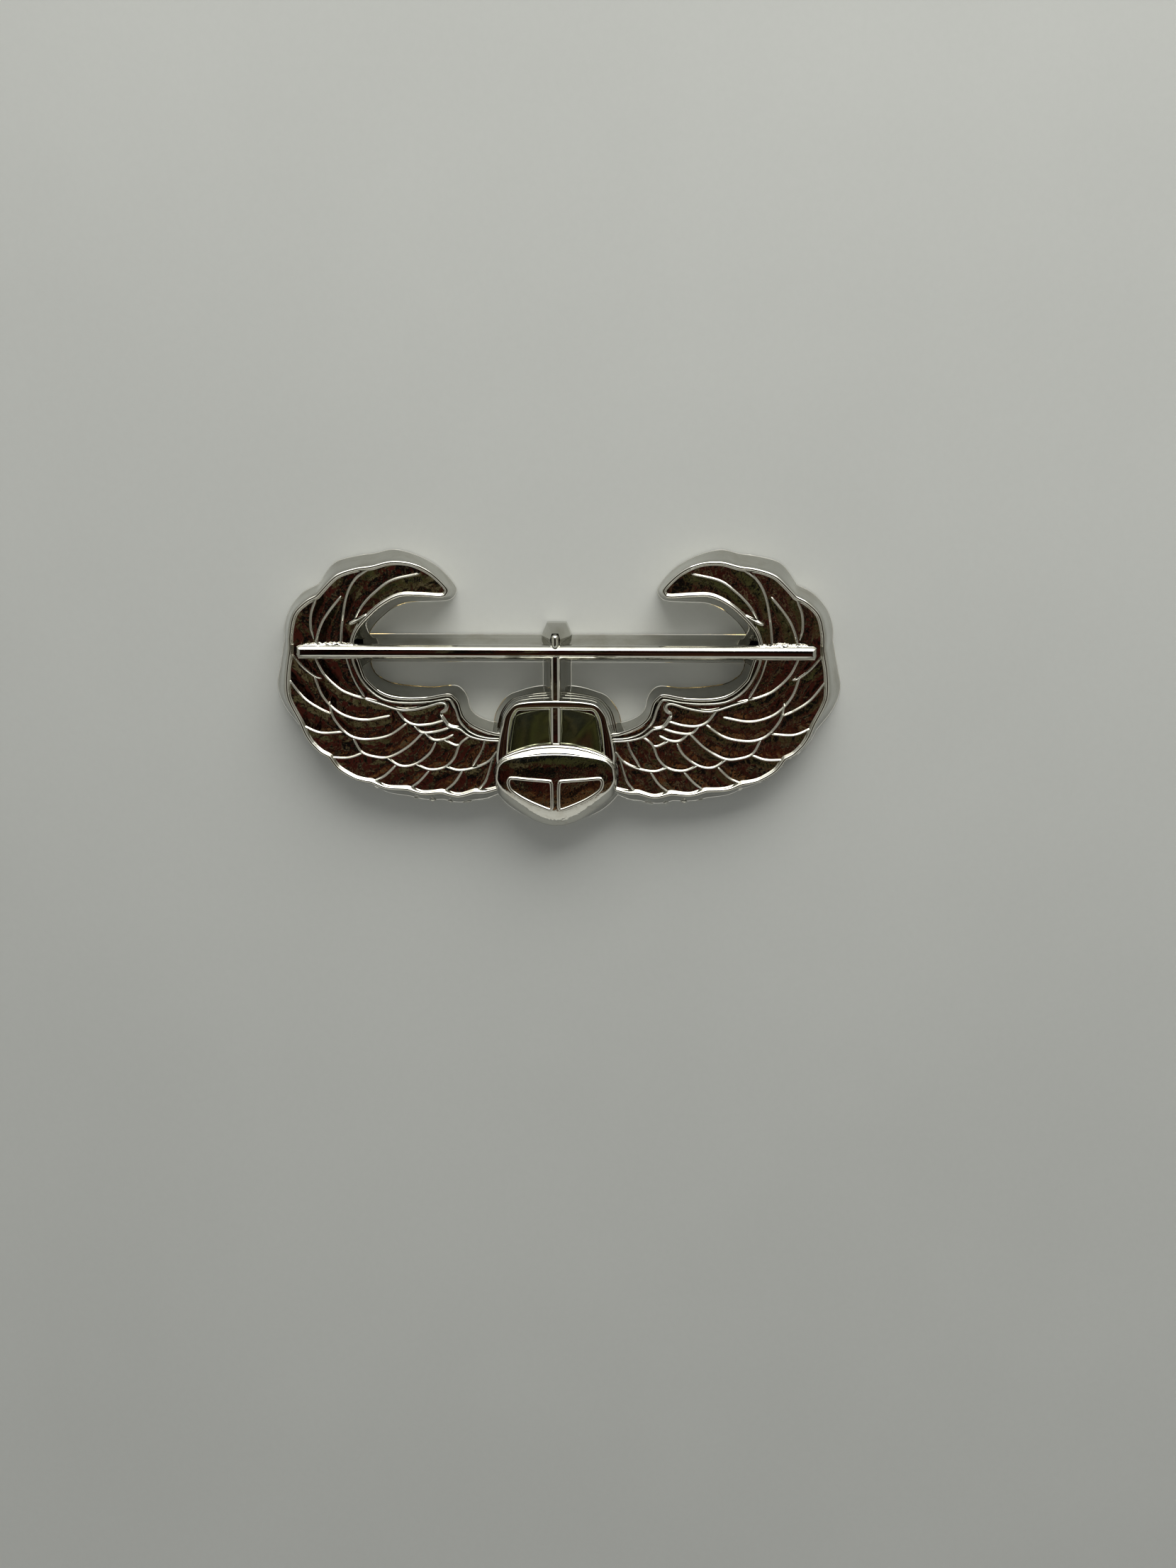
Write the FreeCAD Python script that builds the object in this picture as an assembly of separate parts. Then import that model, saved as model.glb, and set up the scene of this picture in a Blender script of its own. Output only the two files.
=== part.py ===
"""Helicopter-front pilot wings pin: a cast-look badge front on a drafted back plate, with two nail posts
and a squeeze clutch on each post. Everything is modelled lying face up (x right, y up the badge, z out of
its face) and is stood up at the end, so that in the finished frame +X is right, +Z is up and the face
looks towards -Y. The origin is on the back face, under the middle of the rotor blade.
"""
import FreeCAD, Part
import math
import os

V = FreeCAD.Vector

# Overall size of the badge front. The outlines are drawn at the nominal size and follow these two.
WINGSPAN = 38.9
BADGE_HEIGHT = 19.05
NOMINAL_WINGSPAN = 38.9
NOMINAL_HEIGHT = 19.05
ROTOR_LINE = 0.34            # height of the rotor line in the drawn outlines

# Levels of the relief above the back face
PLATE_THICKNESS = 0.9
FLOOR_LEVEL = 2.05           # floor of the feather cells
RIM_LEVEL = 2.35             # top of the rim round each wing
FEATHER_LEVEL = 2.25         # top of the feather edges
BLADE_LEVEL = 2.9            # top of the rotor blade and of the cabin frame
BROW_LEVEL = 3.3
NOSE_EDGE_LEVEL = 3.28       # edge of the nose's face
NOSE_LEVEL = 3.45            # middle of the nose's face

# Ridges
RIM_WIDTH = 0.28
FEATHER_WIDTH = 0.2
MIN_BITE = 0.05              # how far a ridge starts below the floor that it grows from
OVERCUT = 1.0                # how far a cutting tool runs past the face
STRAIGHT = 1e-3              # an arc that bends less than this is drawn as a line

# Rotor blade, mast and hub
BLADE_SPAN = 34.7
BLADE_TOP_WIDTH = 0.46
BLADE_BASE_WIDTH = 0.92
BACKING_TOP_WIDTH = 1.5
BACKING_BASE_WIDTH = 1.92
WEB_HALF_LENGTH = 12.9       # of the web under the blade, between the wings' inner edges
BACKING_HALF_LENGTH = 13.15  # of the plate under the web
MAST_TOP_WIDTH = 0.9
MAST_FOOT_WIDTH = 1.6         # at the back plate
MAST_PLATE_WIDTH = 1.96      # of the plate under the mast
MAST_END = -4.0              # drawn height that the mast runs down to, under the cabin roof
STUB_WIDTH = 0.56
STUB_REACH = 1.15            # from the rotor line to the round end of the stub

# Cabin and nose
NOSE_RADIUS = 46.0           # of the ball that the nose's face is a cap of
NOSE_MIDDLE = -8.6           # drawn height of the ball's middle
HUB_SHOULDER = 0.9           # level where the knob starts to lean in
HUB_LEVEL = 2.6              # top of the knob
PANE_THICKNESS = 0.35
PANE_CLEARANCE = 0.02
PANE_POCKET = 0.6
CHIN_POCKET = 0.3
CHIN_PANE = 0.25
CHIN_FRAME_WIDTH = 0.13
CHIN_FRAME_RISE = 0.12

# Posts
POST_SPACING = 26.0
POST_DROP = 3.44             # below the rotor line
POST_RADIUS = 0.55
POST_LENGTH = 8.0            # from the back face to the tip
TIP_LENGTH = 1.6
TIP_RADIUS = 0.08
FOOT_RADIUS = 1.2
FOOT_THICKNESS = 0.35
FOOT_RECESS = 0.15
FOOT_CLEARANCE = 0.02
GROOVE_DEPTH = 0.12
GROOVE_WIDTH = 0.7

# Clutch, seen along its post
CLUTCH_GAP = 2.2             # from the back face to the clutch plate when it is pushed home
CLUTCH_RADIUS = 5.6
CLUTCH_SHEET = 0.35
CLUTCH_LIP = 0.3             # height of the turned-up edge of the plate
BOSS_RADIUS = 1.5
BOSS_HEIGHT = 0.3
POST_HOLE_CLEARANCE = 0.06
TIP_CLEARANCE = 0.15         # between the post's tip and the inside of the cap
CAP_RADIUS = 3.6
CAP_WALL = 0.3
SLOT_WIDTH = 4.7             # side openings of the cap
SLOT_TOP_MARGIN = 0.9

# Squeeze ears with their jaws
EAR_WIDTH = 4.2
EAR_SHEET = 0.35
EAR_KNEE = 5.3               # how far the ear stands out from the post
EAR_ROOT = 2.9               # where the ear turns, from the post
EAR_HEIGHT = 5.6
EAR_KNEE_SHARE = 0.42        # share of the ear's height where it turns straight
EAR_BEND_SHIFT = 0.4         # how far, in sheets, the inside of a bend sits behind the outside
EAR_CORNER = 1.3
JAW_CLEARANCE = 0.03
JAW_DEPTH = 0.75
JAW_BAR_WIDTH = 1.0
JAW_SIDE_GAP = 0.12
JAW_HEIGHT = 2.7             # of the jaw above the clutch plate
PIVOT_HEIGHT = 0.35          # of the ear's turning line above the clutch plate

# Wing outline, left wing. Each row is one end or one middle of an arc: x and y at the back face, then
# x and y at the top of the rim. Rows 1, 3, 5 ... are the ends.
WING_OUTLINE = [
    (-6.93, 4.57, -7.20, 4.62), (-8.00, 5.79, -8.25, 5.62),
    (-9.43, 6.60, -9.50, 6.20), (-11.00, 7.00, -10.86, 6.30),
    (-12.30, 6.75, -12.14, 6.00), (-13.14, 6.64, -13.14, 5.86),
    (-14.50, 6.36, -14.20, 5.55), (-15.30, 5.93, -14.86, 5.14),
    (-16.20, 4.70, -15.93, 4.07), (-17.36, 4.07, -16.70, 3.65),
    (-18.30, 3.00, -17.50, 2.85), (-18.75, 1.86, -17.86, 1.60),
    (-18.80, 0.86, -17.93, 0.43), (-19.20, -1.00, -18.20, -1.00),
    (-19.45, -2.43, -18.29, -2.29), (-18.98, -3.86, -18.14, -3.14),
    (-17.93, -5.29, -17.50, -4.50), (-17.60, -6.00, -17.15, -5.40),
    (-17.14, -6.57, -16.79, -6.00), (-16.60, -7.10, -16.20, -6.60),
    (-15.93, -7.43, -15.60, -6.95), (-15.40, -8.15, -15.00, -7.76),
    (-14.40, -8.90, -14.00, -8.40), (-13.57, -9.28, -13.20, -8.65),
    (-12.90, -9.50, -12.79, -8.71), (-11.90, -9.95, -11.70, -9.13),
    (-10.50, -10.17, -10.30, -9.21), (-9.40, -10.40, -9.20, -9.52),
    (-8.10, -10.40, -7.90, -9.43), (-7.00, -10.60, -6.75, -9.68),
    (-5.70, -10.40, -5.60, -9.40), (-5.00, -10.30, -4.86, -9.38),
    (-4.00, -9.90, -3.93, -9.14), (-3.50, -9.80, -3.50, -9.00),
    (-3.00, -9.70, -3.00, -8.86), (-3.00, -7.20, -3.00, -7.20),
    (-3.00, -4.90, -3.00, -5.20), (-4.20, -4.85, -4.20, -5.16),
    (-5.30, -4.52, -5.50, -4.66), (-6.00, -3.95, -6.20, -4.05),
    (-6.21, -3.14, -6.50, -3.15), (-6.50, -2.60, -6.80, -2.75),
    (-7.10, -2.25, -7.30, -2.50), (-8.60, -2.37, -8.80, -2.74),
    (-10.30, -2.27, -10.60, -2.74), (-11.60, -2.05, -11.80, -2.38),
    (-12.43, -1.57, -12.71, -1.57), (-12.70, -1.20, -12.97, -1.00),
    (-12.85, -0.75, -13.20, -0.25), (-12.90, 0.20, -13.40, 0.30),
    (-12.90, 1.21, -13.57, 0.86), (-12.50, 1.90, -13.20, 1.80),
    (-11.90, 2.50, -12.29, 2.79), (-11.10, 3.08, -11.40, 3.50),
    (-10.10, 3.42, -10.30, 4.00), (-8.90, 3.48, -9.00, 4.02),
    (-7.43, 3.57, -7.60, 3.95), (-6.90, 3.98, -7.20, 4.14),
]

# Feather edges, left wing: start, middle and end of each arc
FEATHER_EDGES = [
    ((-9.00, 5.50), (-12.00, 4.29), (-13.43, 2.50)),
    ((-12.29, 5.86), (-13.93, 4.00), (-14.43, 1.00)),
    ((-14.29, 4.00), (-15.14, 3.00), (-16.07, 1.14)),
    ((-16.00, 3.71), (-16.36, 2.86), (-16.26, 1.14)),
    ((-17.79, 0.14), (-17.14, -0.71), (-15.86, -1.54)),
    ((-16.29, -0.29), (-15.20, -1.75), (-13.00, -2.89)),
    ((-12.80, -2.95), (-10.00, -3.64), (-7.43, -3.29)),
    ((-14.14, -0.29), (-13.71, -1.43), (-13.00, -2.79)),
    ((-16.36, -1.36), (-15.00, -3.71), (-11.29, -4.07)),
    ((-18.14, -1.57), (-17.14, -2.86), (-15.29, -3.97)),
    ((-15.29, -3.29), (-14.57, -5.07), (-12.86, -5.71)),
    ((-12.64, -5.72), (-11.35, -5.41), (-10.14, -4.57)),
    ((-17.36, -4.79), (-16.14, -5.26), (-14.57, -5.21)),
    ((-13.86, -5.86), (-12.00, -7.00), (-9.00, -5.14)),
    ((-15.57, -7.00), (-14.29, -7.05), (-13.29, -6.67)),
    ((-11.57, -7.14), (-9.90, -7.50), (-8.21, -5.86)),
    ((-12.79, -8.71), (-11.86, -8.29), (-11.00, -7.50)),
    ((-9.64, -7.50), (-7.71, -7.64), (-6.30, -5.80)),
    ((-10.14, -9.14), (-9.43, -8.64), (-8.71, -7.86)),
    ((-7.57, -7.64), (-5.57, -7.64), (-4.20, -6.60)),
    ((-7.86, -9.36), (-7.07, -8.79), (-6.43, -7.86)),
    ((-5.57, -9.36), (-4.86, -8.57), (-4.40, -7.40)),
    ((-10.86, -3.75), (-9.57, -4.69), (-7.57, -4.36)),
    ((-9.71, -4.85), (-8.60, -5.22), (-7.21, -4.86)),
    ((-9.00, -5.29), (-8.10, -5.72), (-7.00, -5.36)),
    ((-7.86, -3.93), (-6.90, -4.85), (-5.86, -5.43)),
]

# Half outline of the cabin, left side from bottom to top middle, in the same rows as the wing
CABIN_OUTLINE = [
    (-4.70, -9.00, -4.20, -9.00), (-4.66, -7.60, -4.05, -7.50),
    (-4.56, -6.20, -3.95, -6.20), (-4.50, -5.50, -3.80, -5.40),
    (-4.42, -4.71, -3.62, -4.70), (-4.12, -3.84, -3.38, -3.85),
    (-3.45, -2.98, -2.78, -3.17), (-2.58, -2.60, -2.00, -2.95),
    (-1.45, -2.30, -1.00, -2.88), (0.00, -2.20, 0.00, -2.86),
]

# Half outline of the nose, left side from its top corner to its lowest point
NOSE_OUTLINE = [
    (-4.60, -6.40, -4.05, -6.40), (-4.72, -7.40, -4.16, -7.40),
    (-4.70, -8.60, -4.20, -8.50), (-4.55, -9.40, -4.08, -9.10),
    (-4.10, -10.15, -3.75, -9.60), (-3.25, -10.98, -2.70, -10.50),
    (-2.00, -11.62, -1.35, -11.33), (0.00, -12.05, 0.00, -11.65),
]
# The nose's lip, from its foot to the edge of its face, in the same order as the outline
NOSE_LIP = [
    (-4.05, -6.40, -3.80, -6.40), (-4.16, -7.40, -3.92, -7.40),
    (-4.20, -8.50, -3.95, -8.45), (-4.08, -9.10, -3.62, -9.00),
    (-3.75, -9.60, -3.05, -9.58), (-2.70, -10.50, -2.05, -10.20),
    (-1.35, -11.33, -1.00, -10.58), (0.00, -11.65, 0.00, -10.70),
]

# Windscreen pane and chin window, left side, as ends and middles of arcs
WINDSCREEN = [
    (-0.46, -3.58), (-1.40, -3.61), (-2.25, -3.77), (-2.58, -3.90), (-2.76, -4.15), (-2.95, -5.25),
    (-3.08, -6.30), (-1.85, -5.95), (-0.46, -5.80), (-0.46, -4.80),
]
CHIN_WINDOW = [
    (-0.47, -8.27), (-1.80, -8.17), (-2.90, -8.08), (-3.13, -8.20), (-3.17, -8.50), (-2.98, -8.92),
    (-2.30, -9.42), (-1.45, -9.85), (-0.45, -10.25), (-0.27, -10.17), (-0.23, -9.95), (-0.23, -9.20),
    (-0.25, -8.60), (-0.31, -8.36),
]

# Corners of the knob behind the blade, left side from bottom to top: at its foot and at its top
HUB_OUTLINE = [
    (-0.40, 0.55, -0.28, 0.66), (-1.03, 1.31, -0.33, 1.22), (-0.67, 2.15, -0.22, 1.60),
]

# Split between cabin and nose, and the band above it
SPLIT_TOP = -6.6
SPLIT_RADIUS = 14.2
BAND_TOP = -5.95
BAND_RADIUS = 11.1


def place(x, y):
    """A drawn point at the badge's real size, with the rotor line at y = 0."""
    return (
        x * WINGSPAN / NOMINAL_WINGSPAN,
        (y - ROTOR_LINE) * BADGE_HEIGHT / NOMINAL_HEIGHT,
    )


def mirrored(shape):
    return shape.mirror(V(0, 0, 0), V(1, 0, 0))


def arc_wire(points, level):
    """A closed wire of arcs: ends and middles take turns in points."""
    count = len(points)
    edges = []
    for i in range(0, count, 2):
        start = V(*points[i], level)
        middle = V(*points[i + 1], level)
        end = V(*points[(i + 2) % count], level)
        bend = (middle - start).cross(end - middle).Length
        if bend < STRAIGHT * (end - start).Length ** 2:
            edges.append(Part.makeLine(start, end))
        else:
            edges.append(Part.Arc(start, middle, end).toShape())
    return Part.Wire(edges)


def prism(points, low, high):
    face = Part.Face(arc_wire(points, low))
    return face.extrude(V(0, 0, high - low))


def rows_at(rows, level):
    """The outline of rows at a level between the back face and the top of the rim, at real size."""
    share = level / RIM_LEVEL
    points = []
    for x0, y0, x1, y1 in rows:
        points.append(place(x0 + (x1 - x0) * share, y0 + (y1 - y0) * share))
    return points


def drafted(rows, low, high):
    """A body whose walls lean in from the back face to the top of the rim."""
    wires = [arc_wire(rows_at(rows, low), low), arc_wire(rows_at(rows, high), high)]
    return Part.makeLoft(wires, True, True)


def offset(points, distance):
    """Each point moved inwards by distance (outwards if negative), square to its two neighbours."""
    count = len(points)
    area = sum(
        points[i][0] * points[(i + 1) % count][1] - points[(i + 1) % count][0] * points[i][1]
        for i in range(count)
    )
    side = 1.0 if area > 0 else -1.0
    moved = []
    for i in range(count):
        before = points[i - 1]
        after = points[(i + 1) % count]
        run = math.hypot(after[0] - before[0], after[1] - before[1])
        normal = (-(after[1] - before[1]) / run, (after[0] - before[0]) / run)
        step = side * distance
        moved.append((points[i][0] + step * normal[0], points[i][1] + step * normal[1]))
    return moved


def whole(half):
    """Both halves of an outline whose last point is on the centreline."""
    other = [(-x0, y0, -x1, y1) for x0, y0, x1, y1 in reversed(half[:-1])]
    return half + other


def closed_rows(half):
    """A mirrored outline closed by a straight line between its two first points."""
    rows = whole(half)
    return rows + [(0.0, rows[0][1], 0.0, rows[0][3])]


def bar(length, base_width, top_width, low, high, centre_y=0.0):
    """A bar along x with a trapezium section that gets narrower towards the face."""
    sections = []
    for level, width in ((low, base_width), (high, top_width)):
        corners = [
            V(-length / 2, centre_y - width / 2, level),
            V(length / 2, centre_y - width / 2, level),
            V(length / 2, centre_y + width / 2, level),
            V(-length / 2, centre_y + width / 2, level),
        ]
        sections.append(Part.makePolygon(corners + [corners[0]]))
    return Part.makeLoft(sections, True, True)


def post_bar(base_width, top_width, y_low, y_high, low, high):
    """A short bar along y with a trapezium section."""
    sections = []
    for level, width in ((low, base_width), (high, top_width)):
        corners = [
            V(-width / 2, y_low, level),
            V(width / 2, y_low, level),
            V(width / 2, y_high, level),
            V(-width / 2, y_high, level),
        ]
        sections.append(Part.makePolygon(corners + [corners[0]]))
    return Part.makeLoft(sections, True, True)


def ribbon(start, middle, end, width, low, high):
    """A raised edge of even width along an arc."""
    a, b, c = (V(*place(*p), low) for p in (start, middle, end))
    curve = Part.Arc(a, b, c)
    circle = Part.Circle(a, b, c)
    centre = circle.Center
    rails = []
    for side in (-0.5, 0.5):
        radius = circle.Radius + side * width
        rails.append([centre + (p - centre).normalize() * radius for p in (a, b, c)])
    inner, outer = rails
    edges = [
        Part.Arc(*inner).toShape(),
        Part.makeLine(inner[2], outer[2]),
        Part.Arc(*reversed(outer)).toShape(),
        Part.makeLine(outer[0], inner[0]),
    ]
    return Part.Face(Part.Wire(edges)).extrude(V(0, 0, high - low))


def split_tool():
    """Everything below the arc where the cabin meets the nose."""
    top = place(0, SPLIT_TOP)[1]
    height = NOSE_LEVEL + 2 * OVERCUT
    return Part.makeCylinder(SPLIT_RADIUS, height, V(0, top - SPLIT_RADIUS, -OVERCUT))


def cabin_block(low, high):
    return drafted(closed_rows(CABIN_OUTLINE), low, high).cut(split_tool())


def nose_block(low, high):
    return drafted(closed_rows(NOSE_OUTLINE), low, high).common(split_tool())


def nose_lip():
    """The sloping lip that rises from the drafted walls to the face of the nose."""
    foot = []
    edge = []
    for x0, y0, x1, y1 in closed_rows(NOSE_LIP):
        foot.append(place(x0, y0))
        edge.append(place(x1, y1))
    wires = [arc_wire(foot, RIM_LEVEL), arc_wire(edge, NOSE_EDGE_LEVEL)]
    crown = prism(edge, NOSE_EDGE_LEVEL, NOSE_LEVEL)
    return Part.makeLoft(wires, True, True).fuse(crown).common(split_tool())


def blade_stock():
    """The rotor blade, from the floor of the feather cells to its top."""
    span = place(BLADE_SPAN, 0)[0]
    blade = bar(span, BLADE_BASE_WIDTH, BLADE_TOP_WIDTH, FLOOR_LEVEL, BLADE_LEVEL)
    web_length = 2 * place(WEB_HALF_LENGTH, 0)[0]
    web = bar(web_length, BACKING_TOP_WIDTH, BLADE_BASE_WIDTH, PLATE_THICKNESS, FLOOR_LEVEL)
    return blade.fuse(web)


def post_places():
    return [(side * POST_SPACING / 2, -POST_DROP) for side in (-1, 1)]


def back_plate():
    """The flat back: two wings, the bar and mast between them, the cabin pad and the nose pad."""
    wing = drafted(WING_OUTLINE, 0, PLATE_THICKNESS)
    backing_length = 2 * place(BACKING_HALF_LENGTH, 0)[0]
    pieces = [
        mirrored(wing),
        bar(backing_length, BACKING_BASE_WIDTH, BACKING_TOP_WIDTH, 0, PLATE_THICKNESS),
        post_bar(MAST_PLATE_WIDTH, MAST_PLATE_WIDTH, place(0, MAST_END)[1], 0, 0, PLATE_THICKNESS),
        cabin_block(0, PLATE_THICKNESS),
        nose_block(0, PLATE_THICKNESS),
    ]
    plate = wing.multiFuse(pieces).removeSplitter()
    for x, y in post_places():
        plate = plate.cut(Part.makeCylinder(FOOT_RADIUS + FOOT_CLEARANCE, FOOT_RECESS, V(x, y, 0)))
    return plate


def wing_left():
    """A wing above the back plate: leaning wall, rim, cell floor and feather edges."""
    body = drafted(WING_OUTLINE, PLATE_THICKNESS, RIM_LEVEL)
    inside = Part.Face(arc_wire(rows_at(WING_OUTLINE, RIM_LEVEL), FLOOR_LEVEL)).makeOffset2D(-RIM_WIDTH)
    wing = body.cut(inside.extrude(V(0, 0, RIM_LEVEL)))
    ridges = [
        ribbon(*edge, FEATHER_WIDTH, FLOOR_LEVEL - MIN_BITE, FEATHER_LEVEL) for edge in FEATHER_EDGES
    ]
    wing = wing.multiFuse(ridges)
    wing = wing.common(body)
    for neighbour in (blade_stock(), cabin_block(0, BLADE_LEVEL), nose_block(0, RIM_LEVEL)):
        wing = wing.cut(neighbour)
    return biggest(wing)


def biggest(shape):
    """The main solid of a cut, without slivers."""
    return max(shape.Solids, key=lambda solid: solid.Volume)


def rotor_blade():
    return blade_stock().removeSplitter()


def mast():
    """The stem from the rotor blade down to the cabin roof."""
    foot = place(0, MAST_END)[1]
    body = post_bar(MAST_FOOT_WIDTH, MAST_TOP_WIDTH, foot, 0, PLATE_THICKNESS, BLADE_LEVEL)
    body = body.cut(blade_stock()).cut(cabin_block(0, BLADE_LEVEL))
    return biggest(body)


def corner_wire(half, level):
    """A closed wire with straight sides through the corners of half an outline and their mirror images."""
    corners = half + [(-x, y) for x, y in reversed(half)]
    points = [V(x, y, level) for x, y in corners]
    return Part.makePolygon(points + [points[0]])


def rotor_hub():
    """The knob above the blade, with a round-ended stub on it."""
    base = [place(row[0], row[1]) for row in HUB_OUTLINE]
    top = [place(row[2], row[3]) for row in HUB_OUTLINE]
    foot = Part.Face(corner_wire(base, 0)).extrude(V(0, 0, HUB_SHOULDER))
    crown = Part.makeLoft([corner_wire(base, HUB_SHOULDER), corner_wire(top, HUB_LEVEL)], True, True)
    knob = foot.fuse(crown)
    rise = BLADE_LEVEL - FLOOR_LEVEL
    stub = Part.makeBox(STUB_WIDTH, STUB_REACH, rise, V(-STUB_WIDTH / 2, 0, FLOOR_LEVEL))
    end = Part.makeCylinder(STUB_WIDTH / 2, rise, V(0, STUB_REACH, FLOOR_LEVEL))
    hub = knob.multiFuse([stub, end])
    backing = bar(WINGSPAN / 2, BACKING_BASE_WIDTH, BACKING_TOP_WIDTH, 0, PLATE_THICKNESS)
    hub = hub.cut(backing).cut(blade_stock())
    return biggest(hub)


def cabin_frame():
    """The cabin front above the back plate, with a pocket for each windscreen pane."""
    body = cabin_block(PLATE_THICKNESS, BLADE_LEVEL)
    points = [place(x, y) for x, y in WINDSCREEN]
    pocket = prism(points, BLADE_LEVEL - PANE_POCKET, BLADE_LEVEL + OVERCUT)
    return body.cut(pocket).cut(mirrored(pocket))


def windscreen_left():
    points = offset([place(x, y) for x, y in WINDSCREEN], PANE_CLEARANCE)
    floor = BLADE_LEVEL - PANE_POCKET
    return prism(points, floor, floor + PANE_THICKNESS)


def brow_band():
    """The raised band across the foot of the windscreen."""
    top = place(0, BAND_TOP)[1]
    band = Part.makeCylinder(BAND_RADIUS, BROW_LEVEL - BLADE_LEVEL, V(0, top - BAND_RADIUS, BLADE_LEVEL))
    band = band.cut(split_tool())
    sides = rows_at(closed_rows(CABIN_OUTLINE), BLADE_LEVEL)
    band = band.common(prism(sides, BLADE_LEVEL, BROW_LEVEL))
    return biggest(band)


def nose_ball(grow=0.0):
    """The ball that gives the nose its crown; grow moves its skin out or in."""
    centre_y = place(0, NOSE_MIDDLE)[1]
    return Part.makeSphere(NOSE_RADIUS + grow, V(0, centre_y, NOSE_LEVEL - NOSE_RADIUS), V(1, 0, 0))


def chin_points(grow=0.0):
    return offset([place(x, y) for x, y in CHIN_WINDOW], -grow)


def nose_cone():
    """The crowned nose, with a raised frame and a pocket for each chin window."""
    nose = nose_block(PLATE_THICKNESS, RIM_LEVEL).fuse(nose_lip()).common(nose_ball())
    for flip in (False, True):
        frame = prism(chin_points(CHIN_FRAME_WIDTH), FLOOR_LEVEL, NOSE_LEVEL + OVERCUT)
        frame = frame.common(nose_ball(CHIN_FRAME_RISE))
        pocket = prism(chin_points(), PLATE_THICKNESS, NOSE_LEVEL + OVERCUT)
        pocket = pocket.cut(nose_ball(-CHIN_POCKET))
        nose = nose.fuse(mirrored(frame) if flip else frame)
        nose = nose.cut(mirrored(pocket) if flip else pocket)
    return biggest(nose)


def chin_window_left():
    pane = prism(chin_points(-PANE_CLEARANCE), PLATE_THICKNESS, NOSE_LEVEL + OVERCUT)
    pane = pane.common(nose_ball(CHIN_PANE - CHIN_POCKET)).cut(nose_ball(-CHIN_POCKET))
    return biggest(pane)


def revolved(profile, x, y):
    """A profile of (radius, level) points turned about the post's line; both ends are on the line."""
    points = [V(x + r, y, level) for r, level in profile]
    face = Part.Face(Part.makePolygon(points + [points[0]]))
    return face.revolve(V(x, y, 0), V(0, 0, 1), 360)


def post(x, y):
    """A nail-like post: soldered foot, shank, grip groove and sharp tip. It stands off the back."""
    groove_middle = -(POST_LENGTH - TIP_LENGTH - GROOVE_WIDTH)
    throat = POST_RADIUS - GROOVE_DEPTH
    profile = [
        (0, FOOT_RECESS),
        (FOOT_RADIUS, FOOT_RECESS),
        (FOOT_RADIUS, FOOT_RECESS - FOOT_THICKNESS),
        (POST_RADIUS, FOOT_RECESS - FOOT_THICKNESS),
        (POST_RADIUS, groove_middle + GROOVE_WIDTH / 2),
        (throat, groove_middle + GROOVE_WIDTH / 4),
        (throat, groove_middle - GROOVE_WIDTH / 4),
        (POST_RADIUS, groove_middle - GROOVE_WIDTH / 2),
        (POST_RADIUS, -(POST_LENGTH - TIP_LENGTH)),
        (TIP_RADIUS, -POST_LENGTH),
        (0, -POST_LENGTH),
    ]
    return revolved(profile, x, y)


def cap_top():
    """Level of the outside of the clutch cap's end, measured back from the back face."""
    return POST_LENGTH + TIP_CLEARANCE + CAP_WALL


def clutch_plate(x, y):
    """The round plate that bears on the cloth: turned-up edge, raised boss and post hole."""
    front = -CLUTCH_GAP
    back = front - CLUTCH_SHEET
    lip = CLUTCH_SHEET
    hole = POST_RADIUS + POST_HOLE_CLEARANCE
    profile = [
        (hole, front),
        (CLUTCH_RADIUS - lip, front),
        (CLUTCH_RADIUS, front - lip),
        (CLUTCH_RADIUS, back - CLUTCH_LIP),
        (CLUTCH_RADIUS - lip, back - CLUTCH_LIP),
        (CLUTCH_RADIUS - lip - CLUTCH_LIP, back),
        (BOSS_RADIUS + BOSS_HEIGHT, back),
        (BOSS_RADIUS, back - BOSS_HEIGHT),
        (hole, back - BOSS_HEIGHT),
    ]
    return revolved(profile, x, y)


def clutch_cap(x, y):
    """The cup behind the plate, closed over the post's tip and open at both sides for the ears."""
    low = -(CLUTCH_GAP + CLUTCH_SHEET)
    high = -cap_top()
    shoulder = 2 * CAP_WALL
    profile = [
        (CAP_RADIUS - CAP_WALL, low),
        (CAP_RADIUS, low),
        (CAP_RADIUS, high + shoulder),
        (CAP_RADIUS - shoulder, high),
        (0, high),
        (0, high + CAP_WALL),
        (CAP_RADIUS - shoulder - CAP_WALL / 2, high + CAP_WALL),
        (CAP_RADIUS - CAP_WALL, high + shoulder + CAP_WALL / 2),
    ]
    cup = revolved(profile, x, y)
    depth = low - high - SLOT_TOP_MARGIN
    corner = V(x - 2 * CAP_RADIUS, y - SLOT_WIDTH / 2, low - depth)
    slot = Part.makeBox(4 * CAP_RADIUS, SLOT_WIDTH, depth, corner)
    return cup.cut(slot)


def pivot_level():
    return -(CLUTCH_GAP + CLUTCH_SHEET + PIVOT_HEIGHT)


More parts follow.
